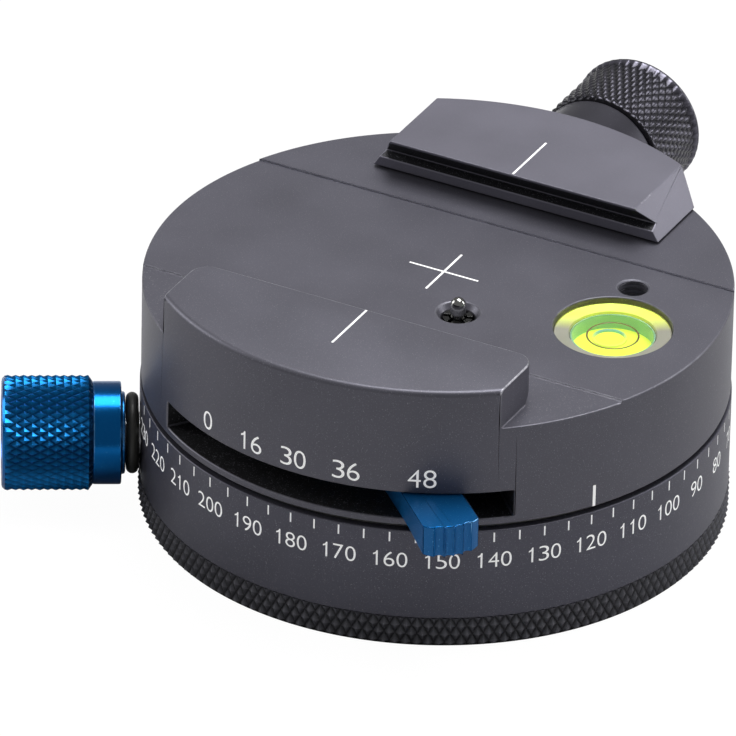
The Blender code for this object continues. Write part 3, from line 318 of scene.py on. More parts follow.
def buildValley():
    # how far a point stands out from an axis, for the painted shade in the valleys between knurls
    group, given, out = newGroup("knurl valleys", {
        "Vector": None, "Axis point": None, "Axis": None, "Low": 0.0, "High": 1.0}, ["Height"])
    away = vectorMath(group, "SUBTRACT", given["Vector"], given["Axis point"])["Vector"]
    share = vectorMath(group, "DOT_PRODUCT", away, given["Axis"])["Value"]
    along = addNode(group, "ShaderNodeVectorMath", {0: given["Axis"], "Scale": share}, operation="SCALE")
    across = vectorMath(group, "SUBTRACT", away, along["Vector"])["Vector"]
    length = vectorMath(group, "LENGTH", across)["Value"]
    send(group, out, Height=remap(group, length, given["Low"], given["High"]))
    return group


def buildSide():
    # one side of an upright cylinder against the other, for painted light that changes across it
    group, given, out = newGroup("painted light by near and far side", {
        "Vector": None, "Middle": None, "Direction": None, "Near": 0.0, "Far": 1.0}, ["Share"])
    away = vectorMath(group, "SUBTRACT", given["Vector"], given["Middle"])["Vector"]
    share = vectorMath(group, "DOT_PRODUCT", away, given["Direction"])["Value"]
    send(group, out, Share=remap(group, share, given["Near"], given["Far"]))
    return group


grain = buildGrain()
wear = buildWear()
valley = buildValley()
sides = buildSide()
lathe = buildTurning()


def newMaterial(name, **values):
    look = bpy.data.materials.new(name)
    look.use_nodes = True
    inputs = look.node_tree.nodes["Principled BSDF"].inputs
    for key, value in values.items():
        inputs[key.replace("_", " ")].default_value = (*value, 1.0) if isinstance(value, tuple) else value
    return look, look.node_tree, inputs, addNode(look.node_tree, "ShaderNodeTexCoord")["Object"]


def tint(colour, share):
    return tuple(min(1.0, share * part) for part in colour)


def bumpFrom(tree, inputs, height, strength, distance):
    bump = addNode(tree, "ShaderNodeBump", {"Strength": strength, "Distance": distance, "Height": height})
    send(tree, inputs, Normal=bump["Normal"])


def anodised(name, colour, metallic=0.55, roughness=0.42, size=0.13, specks=0.68,
             speckColour=(0.22, 0.22, 0.25), worn=0.0, bare=(0.6, 0.6, 0.64), tooth=0.3, topOnly=0.0,
             valleyShade=None, shade=0.25):
    look, tree, inputs, place = newMaterial(name, Metallic=metallic, Roughness=roughness)
    skin = useGroup(tree, grain, Vector=place, Size=size, Speck_limit=specks)
    colourNow = mixColours(tree, skin["Cloud"], tint(colour, 0.82), tint(colour, 1.16))
    colourNow = mixColours(tree, skin["Speck"], colourNow, speckColour)
    if worn:
        mask = useGroup(tree, wear, Vector=place, Amount=worn)["Mask"]
        if topOnly:
            height = addNode(tree, "ShaderNodeSeparateXYZ", {"Vector": place})["Z"]
            nearTop = remap(tree, height, topOnly - 0.6 * mm, topOnly, 0.12, 1.0)
            mask = arithmetic(tree, "MULTIPLY", mask, nearTop)
        colourNow = mixColours(tree, mask, colourNow, bare)
        send(tree, inputs, Metallic=remap(tree, mask, 0.0, 1.0, metallic, 1.0))
    # painted shade: the colour darkens towards the valley floors between knurls, where shade falls
    if valleyShade:
        point, axis, low, high = valleyShade
        depth = useGroup(tree, valley, Vector=place, Axis_point=point, Axis=axis, Low=low, High=high)
        colourNow = mixColours(tree, depth["Height"], tint(colour, shade), colourNow)
    send(tree, inputs, Base_Color=colourNow,
         Roughness=remap(tree, skin["Cloud"], 0.0, 1.0, roughness - 0.05, roughness + 0.06))
    bumpFrom(tree, inputs, skin["Height"], tooth, 0.02 * mm)
    return look


def turnedMetal(name, colour, roughness, pitch=0.12, along="Z", tooth=0.2):
    # lines lie across one direction, or in rings when along is R
    look, tree, inputs, place = newMaterial(name, Metallic=1.0, Roughness=roughness)
    parts = addNode(tree, "ShaderNodeSeparateXYZ", {"Vector": place})
    if along == "R":
        flat = addNode(tree, "ShaderNodeCombineXYZ", {"X": parts["X"], "Y": parts["Y"]})["Vector"]
        distance = vectorMath(tree, "LENGTH", flat)["Value"]
    else:
        distance = parts[along]
    lines = useGroup(tree, lathe, Distance=distance, Pitch=pitch)["Height"]
    send(tree, inputs, Base_Color=mixColours(tree, lines, tint(colour, 0.8), tint(colour, 1.15)),
         Roughness=remap(tree, lines, 0.0, 1.0, roughness - 0.06, roughness + 0.08))
    bumpFrom(tree, inputs, lines, tooth, 0.01 * mm)
    return look


def softMaterial(name, colour, roughness, size=0.3, tooth=0.3, glow=None):
    # rubber, plastic and paint: dull, with a fine tooth and a little variation. A glow, where given, is
    # painted light
    look, tree, inputs, place = newMaterial(name, Metallic=0.0, Roughness=roughness)
    if glow:
        inputs["Emission Color"].default_value = (*glow[0], 1.0)
        inputs["Emission Strength"].default_value = glow[1]
    skin = useGroup(tree, grain, Vector=place, Size=size, Speck_limit=0.8)
    send(tree, inputs, Base_Color=mixColours(tree, skin["Cloud"], tint(colour, 0.85), tint(colour, 1.1)),
         Roughness=remap(tree, skin["Height"], 0.0, 1.0, roughness - 0.08, roughness + 0.08))
    bumpFrom(tree, inputs, skin["Height"], tooth, 0.02 * mm)
    return look


def sidedMaterial(name, near, far, middle, low, high, strength):
    # a plastic that glows with painted light: one colour on the side away from the camera, which is also
    # away from the fixed jaw, and another on the near side
    look, tree, inputs, place = newMaterial(name, Metallic=0.0, Roughness=0.35, Emission_Strength=strength)
    share = useGroup(tree, sides, Vector=place, Middle=middle, Direction=(-0.454, 0.891, 0), Near=low,
                     Far=high)
    colourNow = mixColours(tree, share["Share"], near, far)
    send(tree, inputs, Base_Color=colourNow, Emission_Color=colourNow)
    bumpFrom(tree, inputs, useGroup(tree, grain, Vector=place, Size=0.4)["Height"], 0.05, 0.02 * mm)
    return look


def clearMaterial(name):
    look, tree, inputs, place = newMaterial(name, Metallic=0.0, Roughness=0.02, IOR=1.2,
                                            Transmission_Weight=1.0)
    cloud = useGroup(tree, grain, Vector=place, Size=0.6)["Cloud"]
    send(tree, inputs, Base_Color=mixColours(tree, cloud, (0.9, 0.92, 0.88), (0.97, 0.98, 0.95)))
    bumpFrom(tree, inputs, cloud, 0.03, 0.02 * mm)
    return look


seatGrey = (0.102, 0.1, 0.124)
wallGrey = (0.084, 0.083, 0.108)
jawGrey = (0.18, 0.175, 0.215)
knobBlue = (0.0, 0.105, 0.34)
blueSpeck = (0.1, 0.4, 0.75)
# levelGlow is the colour of the painted glow given to the level's liquid, disc, rim and bubble edge
levelGlow = (0.85, 0.95, 0.12)
greySkin = anodised("anodised grey", seatGrey)
greyEdge = anodised("anodised grey edge", seatGrey, worn=0.45, topOnly=36.9 * mm)
# painted shade: a near black skin for the inside of the lever slot and pocket, where shade falls
slotShade = anodised("slot painted shade", (0.008, 0.008, 0.01), metallic=0.2, roughness=0.6)
wallSkin = anodised("anodised wall", wallGrey)
wallEdge = anodised("anodised wall edge", wallGrey, worn=0.05)
jawSkin = anodised("anodised jaw", jawGrey, roughness=0.38)
jawEdge = anodised("anodised jaw edge", jawGrey, worn=0.12)
# painted shade: a near black skin for the jaw's groove under its overhanging lip
grooveShade = anodised("anodised groove painted shade", (0.012, 0.012, 0.016), metallic=0.3, roughness=0.6)
blueSkin = anodised("anodised blue", knobBlue, metallic=0.9, roughness=0.17, specks=0.8,
                    speckColour=blueSpeck, tooth=0.1)
blueEdge = anodised("anodised blue edge", knobBlue, metallic=0.9, roughness=0.22, specks=0.8,
                    speckColour=blueSpeck, worn=0.3, bare=(0.25, 0.55, 0.85), tooth=0.12)
leverSkin = anodised("lever blue", (0.0, 0.11, 0.33), metallic=0.5, roughness=0.36, specks=0.75,
                     speckColour=(0.1, 0.4, 0.7), tooth=0.25)
knobSkin = anodised("anodised knob", (0.07, 0.068, 0.085), metallic=0.75, roughness=0.3, specks=0.8)
chrome = turnedMetal("bright pin steel", (0.32, 0.32, 0.31), 0.12, pitch=0.3, tooth=0.05)
blackSteel = turnedMetal("blackened steel", (0.07, 0.07, 0.07), 0.24, pitch=0.2, tooth=0.1)
steel = turnedMetal("turned steel", (0.5, 0.5, 0.52), 0.3)
hardSteel = turnedMetal("ground steel", (0.36, 0.37, 0.39), 0.34, along="R")
bronze = turnedMetal("bearing bronze", (0.5, 0.33, 0.15), 0.36, along="R")
glidePlastic = softMaterial("glide plastic", (0.72, 0.71, 0.67), 0.5)
rubber = softMaterial("rubber", (0.022, 0.022, 0.019), 0.42)
# painted light: the white filling of the marks glows a little, so it stays white on the dim walls
whiteFillGlow = softMaterial("white filling painted glow", (0.78, 0.78, 0.78), 0.5, size=0.12, tooth=0.4,
                          glow=((0.9, 0.9, 0.9), 0.35))
# painted light: the level's liquid glows yellow and its cup wall glows teal, though neither is a lamp
levelYellow = softMaterial("level yellow painted glow", (0.72, 0.86, 0.05), 0.4, glow=(levelGlow, 0.62))
ringBrown = softMaterial("level ring", (0.2, 0.1, 0.05), 0.4)
cupWall = softMaterial("level wall painted glow", (0.3, 0.58, 0.42), 0.3, glow=((0.2, 0.5, 0.35), 0.12))
clearVial = clearMaterial("clear acrylic")
print("materials made")


# base: a turned cup with a knurled foot

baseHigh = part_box("base_body")[1]
base = dict(
    radius=38.0 * mm, height=baseHigh.z, wall=5.6 * mm, channelFloor=5.0 * mm, pedestal=25.8 * mm,
    pedestalTop=12.5 * mm, socket=8.8 * mm, bushHole=8.1 * mm, bushFloor=10.3 * mm, glideInner=33.7 * mm,
    glideOuter=36.7 * mm, glideFloor=15.9 * mm, footTop=4.15 * mm, footRadius=baseHigh.x,
    footCore=37.5 * mm, footChamfer=0.5 * mm, footLap=0.1 * mm, teeth=169, toothDepth=0.42 * mm,
    toothRows=3, screwCircle=17.15 * mm,
    screwHead=(2.4 * mm, 8.1 * mm), screwShank=(1.5 * mm, 14 * mm), edge=0.18 * mm, lockHole=3.0 * mm,
    lockHeight=9.0 * mm, lockAngle=math.radians(-150.2))


def pressTeeth(piece, heights, teeth, depth):
    # every second crossing of the rings at these heights goes in, which leaves pointed diamonds
    edit(piece, "DESELECT")
    bpy.ops.mesh.select_mode(type="VERT")
    leaveEdit()
    outer = 0
    first = None
    for point in piece.data.vertices:
        if any(abs(point.co.z - height) < near for height in heights):
            outer = max(outer, math.hypot(point.co.x, point.co.y))
    for point in piece.data.vertices:
        if math.hypot(point.co.x, point.co.y) < outer - near:
            continue
        angle = math.atan2(point.co.y, point.co.x)
        first = angle if first is None else first
        column = round((angle - first) * teeth / math.pi)
        for row, height in enumerate(heights):
            if abs(point.co.z - height) < near:
                point.select = (row + column) % 2 == 0
    share = 1 - depth / outer
    bpy.ops.object.mode_set(mode="EDIT")
    bpy.ops.transform.resize(value=(share, share, 1), center_override=(0, 0, 0))
    leaveEdit()
    low, high = min(heights) - near, max(heights) + near

    def inBand(face):
        points = [piece.data.vertices[i].co for i in face.vertices]
        wide = min(math.hypot(p.x, p.y) for p in points) > outer - depth - near
        return wide and all(low < p.z < high for p in points)

    selectFaces(piece, inBand)
    bpy.ops.mesh.quads_convert_to_tris(quad_method="SHORTEST_DIAGONAL", ngon_method="BEAUTY")
    leaveEdit()


def makeBase():
    b = base
    inner = b["radius"] - b["wall"]
    cup = turned("baseBody", [
        (b["bushHole"], b["pedestalTop"]), (b["pedestal"], b["pedestalTop"]),
        (b["pedestal"], b["channelFloor"]), (inner, b["channelFloor"]), (inner, b["height"]),
        (b["glideInner"], b["height"]), (b["glideInner"], b["glideFloor"]),
        (b["glideOuter"], b["glideFloor"]), (b["glideOuter"], b["height"]), (b["radius"], b["height"]),
        (b["radius"], b["footTop"]), (b["footCore"], b["footTop"]), (b["footCore"], 0), (b["socket"], 0),
        (b["socket"], b["bushFloor"]), (b["bushHole"], b["bushFloor"])],
        sides=320, hollow=True)
    combine(cup, rod("lockHole", b["lockHole"], inner - 2 * over, b["radius"] + 2 * over,
                     place=(0, 0, b["lockHeight"]), turn=(0, math.pi / 2, b["lockAngle"])))
    for i in range(3):
        angle = math.pi / 2 + i * tau / 3
        spot = (b["screwCircle"] * math.cos(angle), b["screwCircle"] * math.sin(angle), 0)
        for radius, top in (b["screwHead"], b["screwShank"]):
            combine(cup, rod("screwHole", radius, -over, top, place=spot))
    paint(cup, wallSkin, wallEdge)
    breakEdges(cup, b["edge"], worn=True)
    step = (b["footTop"] - b["footChamfer"]) / b["toothRows"]
    heights = [b["footTop"] - step * i for i in range(b["toothRows"] + 1)]
    hidden = b["footCore"] - b["footLap"]
    foot = turned("footKnurl", [(hidden, b["footTop"])] + [(b["footRadius"], z) for z in heights]
                  + [(b["footRadius"] - b["footChamfer"], 0), (hidden, 0)],
                  sides=2 * b["teeth"], hollow=True)
    pressTeeth(foot, heights, b["teeth"], b["toothDepth"])
    # painted shade in the knurl valleys of the foot
    valleyShade = ((0, 0, 0), (0, 0, 1), b["footRadius"] - b["toothDepth"], b["footRadius"] - near)
    paint(foot, anodised("knurled foot", (0.12, 0.12, 0.14), valleyShade=valleyShade, shade=0.22))
    smooth(foot, 20)
    whole = joinAll([cup, foot], "baseBody")
    finish(whole, "base", ["base_body"])


makeBase()
print("base made")


# knobs: a ring of knurls, a smooth collar and a small dished end

def makeKnob(name, size, body, node, place, turn, looks, beads=False):
    axis = Vector((0, 0, 1))
    axis.rotate(Euler(turn))
    step, collar, knurl = size["step"], size["collar"], size["knurl"]
    start = size["start"]
    stepEnd = start + step[1]
    collarEnd = stepEnd + collar[1]
    end = collarEnd + knurl[1]
    rows = size["rows"]
    first = collarEnd + size["bevel"]
    last = end - size["rounding"]
    heights = [first + (last - first) * i / rows for i in range(rows + 1)]
    radius = knurl[0]
    nose = [(radius - size["rounding"] * (1 - math.sin(a)), last + size["rounding"] * math.cos(a))
            for a in (math.radians(60), math.radians(30), math.radians(8))]
    profile = [(collar[0] - size["lap"], collarEnd), (collar[0], collarEnd)]
    profile += [(radius, z) for z in heights] + nose
    bore, dish, rounding = size["bore"], end - size["dish"], size["rounding"]
    profile += [(radius - 2.2 * rounding, end), (radius - 2.6 * rounding, dish), (bore, dish),
                (bore, end - size["boreDepth"]), (bore / 2, end - 1.2 * size["boreDepth"])]
    band = turned(name + "Knurl", profile, sides=2 * size["teeth"])
    pressTeeth(band, heights, size["teeth"], size["depth"])
    if beads:
        applyChange(band, "SUBSURF", levels=1, render_levels=1)
        smooth(band, 50)
    else:
        smooth(band, 20)
    wide = max(math.hypot(point.co.x, point.co.y) for point in band.data.vertices)
    # painted shade in the knurl valleys, from the relief depth in to the seam
    look = anodised(name + " knurl", size["colour"], metallic=0.85, roughness=0.26, specks=0.8, tooth=0.1,
                    valleyShade=(place, tuple(axis), wide - size["relief"], wide - size["seam"]),
                    shade=size["shade"])
    # the end and the lip by the collar take the plain skin, so the painted valley shade stays off them
    paint(band, look, looks[0])
    for face in band.data.polygons:
        z = face.center.z
        if z > last + 0.35 * size["rounding"] or z < collarEnd + 0.2 * size["bevel"]:
            face.material_index = 1
    inside, tuck = radius - size["tuck"][0], collarEnd + size["tuck"][1]
    shell = [(size["hole"], start)] + ([(step[0], start), (step[0], stepEnd)] if step[1] else [])
    shell += [(collar[0], stepEnd), (collar[0], collarEnd),
              (radius - size["cone"], collarEnd + size["bevel"] * 0.4), (inside, tuck),
              (size["hole"], tuck)]
    sleeve = turned(name + "Collar", shell, sides=192, hollow=True)
    paint(sleeve, *looks)
    breakEdges(sleeve, size["edge"], worn=True)
    knob = settle(joinAll([band, sleeve], name), place, turn)
    finish(knob, body, [node])


# relief and seam set where the painted valley shade starts and ends, shade sets how dark it gets
knobInside = dict(edge=0.22 * mm, lap=1.2 * mm, cone=1.4 * mm, tuck=(1.6 * mm, 2 * mm), boreDepth=1.0 * mm,
                  seam=0.04 * mm)
lockTurn = (0, math.pi / 2, base["lockAngle"])
lockKnob = dict(start=39.85 * mm, step=(5.3 * mm, 0.5 * mm), collar=(6.64 * mm, 3.68 * mm),
                knurl=(7.42 * mm, 11.7 * mm), rows=10, teeth=40, depth=0.36 * mm, bevel=0.55 * mm,
                rounding=0.8 * mm, dish=0.3 * mm, bore=2.2 * mm, hole=3.0 * mm, colour=(0.0, 0.15, 0.44),
                relief=0.36 * mm, shade=0.4, **knobInside)
makeKnob("lockKnob", lockKnob, "lock", "lock_knob", (0, 0, base["lockHeight"]), lockTurn,
         (blueSkin, blueEdge))

clampHeight = 27.35 * mm
clampTurn = (-math.pi / 2, 0, 0)
clampKnob = dict(start=38.6 * mm, step=(0, 0), collar=(8.25 * mm, 6.7 * mm), knurl=(9.23 * mm, 11.7 * mm),
                 rows=10, teeth=48, depth=0.85 * mm, bevel=0.6 * mm, rounding=0.9 * mm, dish=0.3 * mm,
                 bore=2.4 * mm, hole=3.2 * mm, colour=(0.14, 0.135, 0.17), relief=0.5 * mm, shade=0.1,
                 **knobInside)
makeKnob("clampKnob", clampKnob, "clamp", "clamp_knob", (0, 0, clampHeight), clampTurn,
         (knobSkin, knobSkin), beads=True)

lockRing = dict(start=38.1 * mm, length=1.65 * mm, radius=5.25 * mm, hole=3.0 * mm)


def makeLockRing():
    r = lockRing
    middle = r["start"] + r["length"] / 2
    half = r["length"] / 2
    bulge = [(r["radius"] - half + half * math.cos(a), middle + half * math.sin(a))
             for a in [math.radians(80 - 16 * i) for i in range(11)]]
    ring = turned("lockRing", [(r["hole"], middle + half)] + bulge + [(r["hole"], middle - half)], sides=96,
                  hollow=True)
    smooth(ring, 50)
    settle(ring, (0, 0, base["lockHeight"]), lockTurn)
    finish(ring, "lock", ["lock_ring"], [rubber])


makeLockRing()
print("knobs made")


# rotor: a turned disc milled down to a seat, with the fixed jaw left standing

rotorLow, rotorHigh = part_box("rotor_body")
rotor = dict(
    radius=rotorHigh.x, top=rotorHigh.z, bottom=17.65 * mm, journalEnd=rotorLow.z, journal=6.5 * mm,
    hub=7.4 * mm, flange=10.5 * mm, clearance=0.3 * mm, hubBottom=15.6 * mm, seat=31.86 * mm,
    rearFloor=32.10 * mm, frontFloor=31.66 * mm, seatHalf=15.6 * mm, lip=19.6 * mm,
    halfLength=24.1 * mm, corner=2.6 * mm, land=2.65 * mm,
    slotLow=18.65 * mm, slotHigh=22.40 * mm, slotStart=math.radians(-127.2), slotEnd=math.radians(-47.4),
    pocketTop=22.55 * mm, pocket=28.6 * mm, notchHalf=9.8 * mm, notchFront=24.7 * mm, notchFloor=18.8 * mm,
    level=Vector((25.0 * mm, 0.1 * mm, 0)), recess=7.62 * mm, recessFloor=25.66 * mm,
    pin=Vector((6.14 * mm, -6.33 * mm, 0)), sink=2.8 * mm, sinkDepth=0.8 * mm, sleeve=2.2 * mm,
    sleeveFloor=23.26 * mm, spare=Vector((22.7 * mm, 10.3 * mm, 0)), spareHole=2.02 * mm,
    spareSink=0.02 * mm, spareDepth=5.5 * mm,
    spareThread=0.18 * mm, sparePitch=0.8 * mm, spareTurns=5, frontEdge=0.7 * mm, edge=0.2 * mm,
    slotInner=25 * mm, slotSteps=71, shadeBefore=-10 * mm,
    bores=((0, 3.2 * mm, 9.5 * mm), (-6.6 * mm, 1.8 * mm, 20.8 * mm), (6.6 * mm, 1.8 * mm, 20.8 * mm)))


def bevelPlaced(piece, chosen, width, segments):
    # rounds the edges that are chosen by their middle point and direction
    edit(piece, "DESELECT")
    bpy.ops.mesh.select_mode(type="EDGE")
    leaveEdit()
    for edge in piece.data.edges:
        first, second = (piece.data.vertices[i].co for i in edge.vertices)
        edge.select = chosen((first + second) / 2, second - first)
    bpy.ops.object.mode_set(mode="EDIT")
    bpy.ops.mesh.bevel(offset=width, segments=segments, affect="EDGES")
    leaveEdit()


def ringSector(name, inner, outer, low, high, start, end, steps):
    # a plane in the XZ plane, spun round Z
    deselectAll()
    bpy.ops.mesh.primitive_plane_add(size=1, location=((inner + outer) / 2, 0, (low + high) / 2),
                                     rotation=(math.pi / 2, 0, 0))
    piece = named(name)
    piece.scale = (outer - inner, high - low, 1)
    freeze()
    settle(piece, turn=(0, 0, start))
    edit(piece)
    bpy.ops.mesh.spin(steps=steps, angle=end - start, center=(0, 0, 0), axis=(0, 0, -1))
    bpy.ops.mesh.select_all(action="SELECT")
    bpy.ops.mesh.remove_doubles(threshold=0.001 * mm)
    bpy.ops.mesh.normals_make_consistent(inside=False)
    leaveEdit()
    return piece


def makeRotor():
    r = rotor
    side = r["radius"] + 3 * over
    above = r["top"] + 3 * over
    disc = turned("rotorBody", [
        (r["radius"], r["top"]), (r["radius"], r["bottom"]), (r["flange"], r["bottom"]),
        (r["flange"], r["hubBottom"]), (r["journal"], r["hubBottom"]),
        (r["journal"], r["journalEnd"])], sides=320)
    combine(disc, block("rear", (-side, r["seatHalf"], r["rearFloor"]), (side, side, above)))
    combine(disc, block("seat", (-side, -r["seatHalf"], r["seat"]), (side, r["seatHalf"], above)))
    front = block("front", (-side, -side, r["frontFloor"]), (side, -r["seatHalf"], above))
    jaw = block("jawKeep", (-r["halfLength"], -side - over, 0), (r["halfLength"], -r["lip"], above + over))
    bevelPlaced(jaw, lambda middle, along: abs(along.z) > over and middle.y > -r["lip"] - over,
                r["corner"], 14)
    combine(front, jaw)
    combine(disc, front)
    edge = r["top"] - r["land"]
    drop = edge - r["frontFloor"]
    behind = 2 * over - r["lip"]
    combine(disc, prism("undercut", [
        (behind, edge + 2 * over), (behind, r["frontFloor"]), (-r["lip"] - drop, r["frontFloor"]),
        (-r["lip"], edge), (-r["lip"], edge + 2 * over)], 2 * side, turn=(math.pi / 2, 0, math.pi / 2)))
    combine(disc, rod("recess", r["recess"], r["recessFloor"], above, 160, place=r["level"]))
    sink = r["sink"] + (r["sink"] - r["sleeve"]) / r["sinkDepth"] * (above - r["seat"])
    combine(disc, settle(turned("pinHole", [
        (sink, above), (r["sleeve"], r["seat"] - r["sinkDepth"]), (r["sleeve"], r["sleeveFloor"])], 96),
        r["pin"]))
    first = r["seat"] - r["spareSink"]
    thread = [(r["spareHole"] + above - first, above), (r["spareHole"], first)]
    for i in range(r["spareTurns"]):
        z = first - r["sparePitch"] * i
        thread += [(r["spareHole"] - r["spareThread"], z - 0.3 * r["sparePitch"]),
                   (r["spareHole"], z - 0.7 * r["sparePitch"])]
    thread += [(r["spareHole"] - r["spareThread"], r["seat"] - r["spareDepth"])]
    combine(disc, settle(turned("spareHole", thread, 96), r["spare"]))
    combine(disc, block("notch", (-r["notchHalf"], r["notchFront"], r["notchFloor"]),
                        (r["notchHalf"], side, above)))
    for x, radius, end in r["bores"]:
        combine(disc, rod("bore", radius, end, r["notchFront"] + over, 48, (x, 0, clampHeight), clampTurn))
    combine(disc, ringSector("slot", r["slotInner"], side, r["slotLow"], r["slotHigh"],
                             r["slotStart"], r["slotEnd"], r["slotSteps"]))
    pocket = rod("pocket", r["pocket"], r["bottom"] - over, r["pocketTop"], 128)
    combine(pocket, block("behind", (-side, -over, 0), (side, side, above)))
    combine(pocket, rod("hubKeep", r["hub"], 0, above, 64))
    combine(pocket, rod("flangeKeep", r["flange"] + r["clearance"], 0,
                        r["bottom"] + r["clearance"] / 2, 64))
    combine(disc, pocket)
    mergeClose(disc)
    bevelPlaced(disc, lambda middle, along: abs(middle.z - r["top"]) < near
                and math.hypot(middle.x, middle.y) > r["radius"] - near, r["frontEdge"], 5)
    paint(disc, greySkin, greyEdge, slotShade, wallSkin)
    # painted shade: the faces inside the front of the slot and pocket take the near black skin
    for face in disc.data.polygons:
        x, y, z = face.center
        inside = math.hypot(x, y) < r["radius"] - r["edge"] and y < r["shadeBefore"]
        if inside and r["slotLow"] - near < z < r["pocketTop"] + near:
            face.material_index = 2
    breakEdges(disc, r["edge"], worn=True)
    # painted shade: the small step face between the seat and the raised rear floor takes the darker wall
    # skin
    for face in disc.data.polygons:
        x, y, z = face.center
        onStep = abs(y - r["seatHalf"]) < 1.2 * r["edge"]
        if onStep and r["seat"] + 0.2 * near < z < r["rearFloor"] - 0.2 * near:
            face.material_index = 3
    finish(disc, "rotor", ["rotor_body"])


makeRotor()
print("rotor made")


# movable jaw: a dovetail bar with sloped ends on a leg that slides in the rotor's notch

slidingJaw = dict(
    lip=20.18 * mm, top=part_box("movable_jaw")[1].z, bottom=32.4 * mm, footHalf=20.7 * mm,
    topHalf=17.8 * mm, land=0.3 * mm, setback=1.1 * mm, lipHeight=1.4 * mm, legHalf=9.5 * mm,
    legFront=29.5 * mm, legBottom=19.1 * mm,
    spotFace=37.0 * mm, spotRadius=8.6 * mm, flat=0.45 * mm, rise=0.4 * mm, edge=0.14 * mm,
    boreEnd=31.8 * mm)


def makeSlidingJaw():
    j = slidingJaw
    back = rotor["radius"] + 2 * over
    grooveTop = j["top"] - j["land"]
    lowerTop = j["bottom"] + j["lipHeight"]
    depth = grooveTop - lowerTop - j["flat"]
    bar = prism("slidingJaw", [
        (j["lip"], j["top"]), (j["lip"], grooveTop), (j["lip"] + depth, grooveTop - depth),
        (j["lip"] + depth, lowerTop + j["rise"]), (j["lip"] + j["setback"], lowerTop),
        (j["lip"] + j["setback"], j["bottom"]), (back, j["bottom"]), (back, j["top"])], 2 * j["footHalf"],
        turn=(math.pi / 2, 0, math.pi / 2))
    combine(bar, block("leg", (-j["legHalf"], j["legFront"], j["legBottom"]),
                       (j["legHalf"], back, j["bottom"] + over)), "UNION")
    combine(bar, rod("outline", rotor["radius"], 0, j["top"] + 2 * over, 320), "INTERSECT")
    lean = (j["footHalf"] - j["topHalf"]) / (j["top"] - j["bottom"])
    low, high = j["bottom"] - 2 * over, j["top"] + 2 * over
    for side in (-1, 1):
        combine(bar, prism("end", [
            (side * (j["footHalf"] + lean * 2 * over), low),
            (side * (j["topHalf"] - lean * 2 * over), high), (side * back, high), (side * back, low)],
            4 * back, turn=(math.pi / 2, 0, 0)))
    combine(bar, rod("spotFace", j["spotRadius"], j["spotFace"], back, 128, (0, 0, clampHeight), clampTurn))
    for x, radius, _ in rotor["bores"]:
        end = j["boreEnd"] if x else back
        combine(bar, rod("bore", radius, j["legFront"] - over, end, 48, (x, 0, clampHeight), clampTurn))
    paint(bar, jawSkin, jawEdge, grooveShade)
    # painted shade: the groove faces under the top lip take the near black skin
    for face in bar.data.polygons:
        inGroove = j["lip"] + near < face.center.y < j["lip"] + depth + near
        if inGroove and lowerTop < face.center.z < grooveTop and abs(face.normal.x) < 0.3:
            face.material_index = 2
    breakEdges(bar, j["edge"], worn=True)
    finish(bar, "jaw", ["movable_jaw"])


makeSlidingJaw()
print("jaw made")


# click-stop lever: a disc on its pivot with a tab that ends in four flutes

lever = dict(
    pivot=Vector((0.8 * mm, -17.9 * mm, 0)), rest=math.radians(-43.8), disc=9.9 * mm, half=3.7 * mm,
    reach=30.0 * mm, bulge=1.0 * mm, corner=1.1 * mm, low=18.8 * mm, high=22.25 * mm, drop=0.9 * mm,
    grip=6.2 * mm, flutes=4, fluteDepth=0.42 * mm, bore=2.2 * mm, edge=0.14 * mm,
    tipShare=1.45, tailShare=1.1)


def makeLever():
    v = lever
    bottom = v["low"] - v["drop"]
    flat = v["half"] - v["corner"]
    front = v["reach"] + v["bulge"]
    tipRadius = v["half"] * v["tipShare"]
    below, above = bottom - over, v["high"] + over
    tab = block("stopLever", (0, -v["half"], bottom), (front, v["half"], v["high"]))
    tip = rod("tip", tipRadius, below, above, 256, place=(front - tipRadius, 0, 0))
    tail = block("tail", (-over, -v["disc"], below), (front - v["half"] * v["tailShare"], v["disc"], above))
    combine(tip, tail, "UNION")
    combine(tab, tip, "INTERSECT")
    width = 2 * flat / v["flutes"]
    cut = ((width / 2) ** 2 + v["fluteDepth"] ** 2) / (2 * v["fluteDepth"])
    for i in range(v["flutes"]):
        y = -flat + width * (i + 0.5)
        x = front - tipRadius + math.sqrt(tipRadius ** 2 - y ** 2) - v["fluteDepth"] + cut
        combine(tab, rod("flute", cut, below, above, 48, place=(x, y, 0)))
    combine(tab, rod("disc", v["disc"], bottom, v["high"], 192), "UNION")
    start = v["reach"] - v["grip"]
    behind = -v["disc"] - over
    combine(tab, prism("relief", [
        (behind, below), (front + over, below), (front + over, bottom), (front, bottom), (start, v["low"]),
        (behind, v["low"])], 2 * v["reach"], turn=(math.pi / 2, 0, 0)))
    combine(tab, rod("bore", v["bore"], below, above, 48))
    paint(tab, leverSkin, blueEdge)
    breakEdges(tab, v["edge"], worn=True)
    settle(tab, v["pivot"], (0, 0, v["rest"]))
    finish(tab, "lever", ["stop_lever"])


makeLever()
print("lever made")


# safety pin: a domed pin in a screwed-in sleeve with notches round its rim

pinSize = dict(radius=1.0 * mm, top=33.96 * mm, bore=1.15 * mm, sleeve=1.95 * mm, sleeveTop=31.26 * mm,
               sleeveEdge=0.08 * mm, notches=6, notch=0.55 * mm, notchDepth=0.5 * mm, notchTurn=0.3)


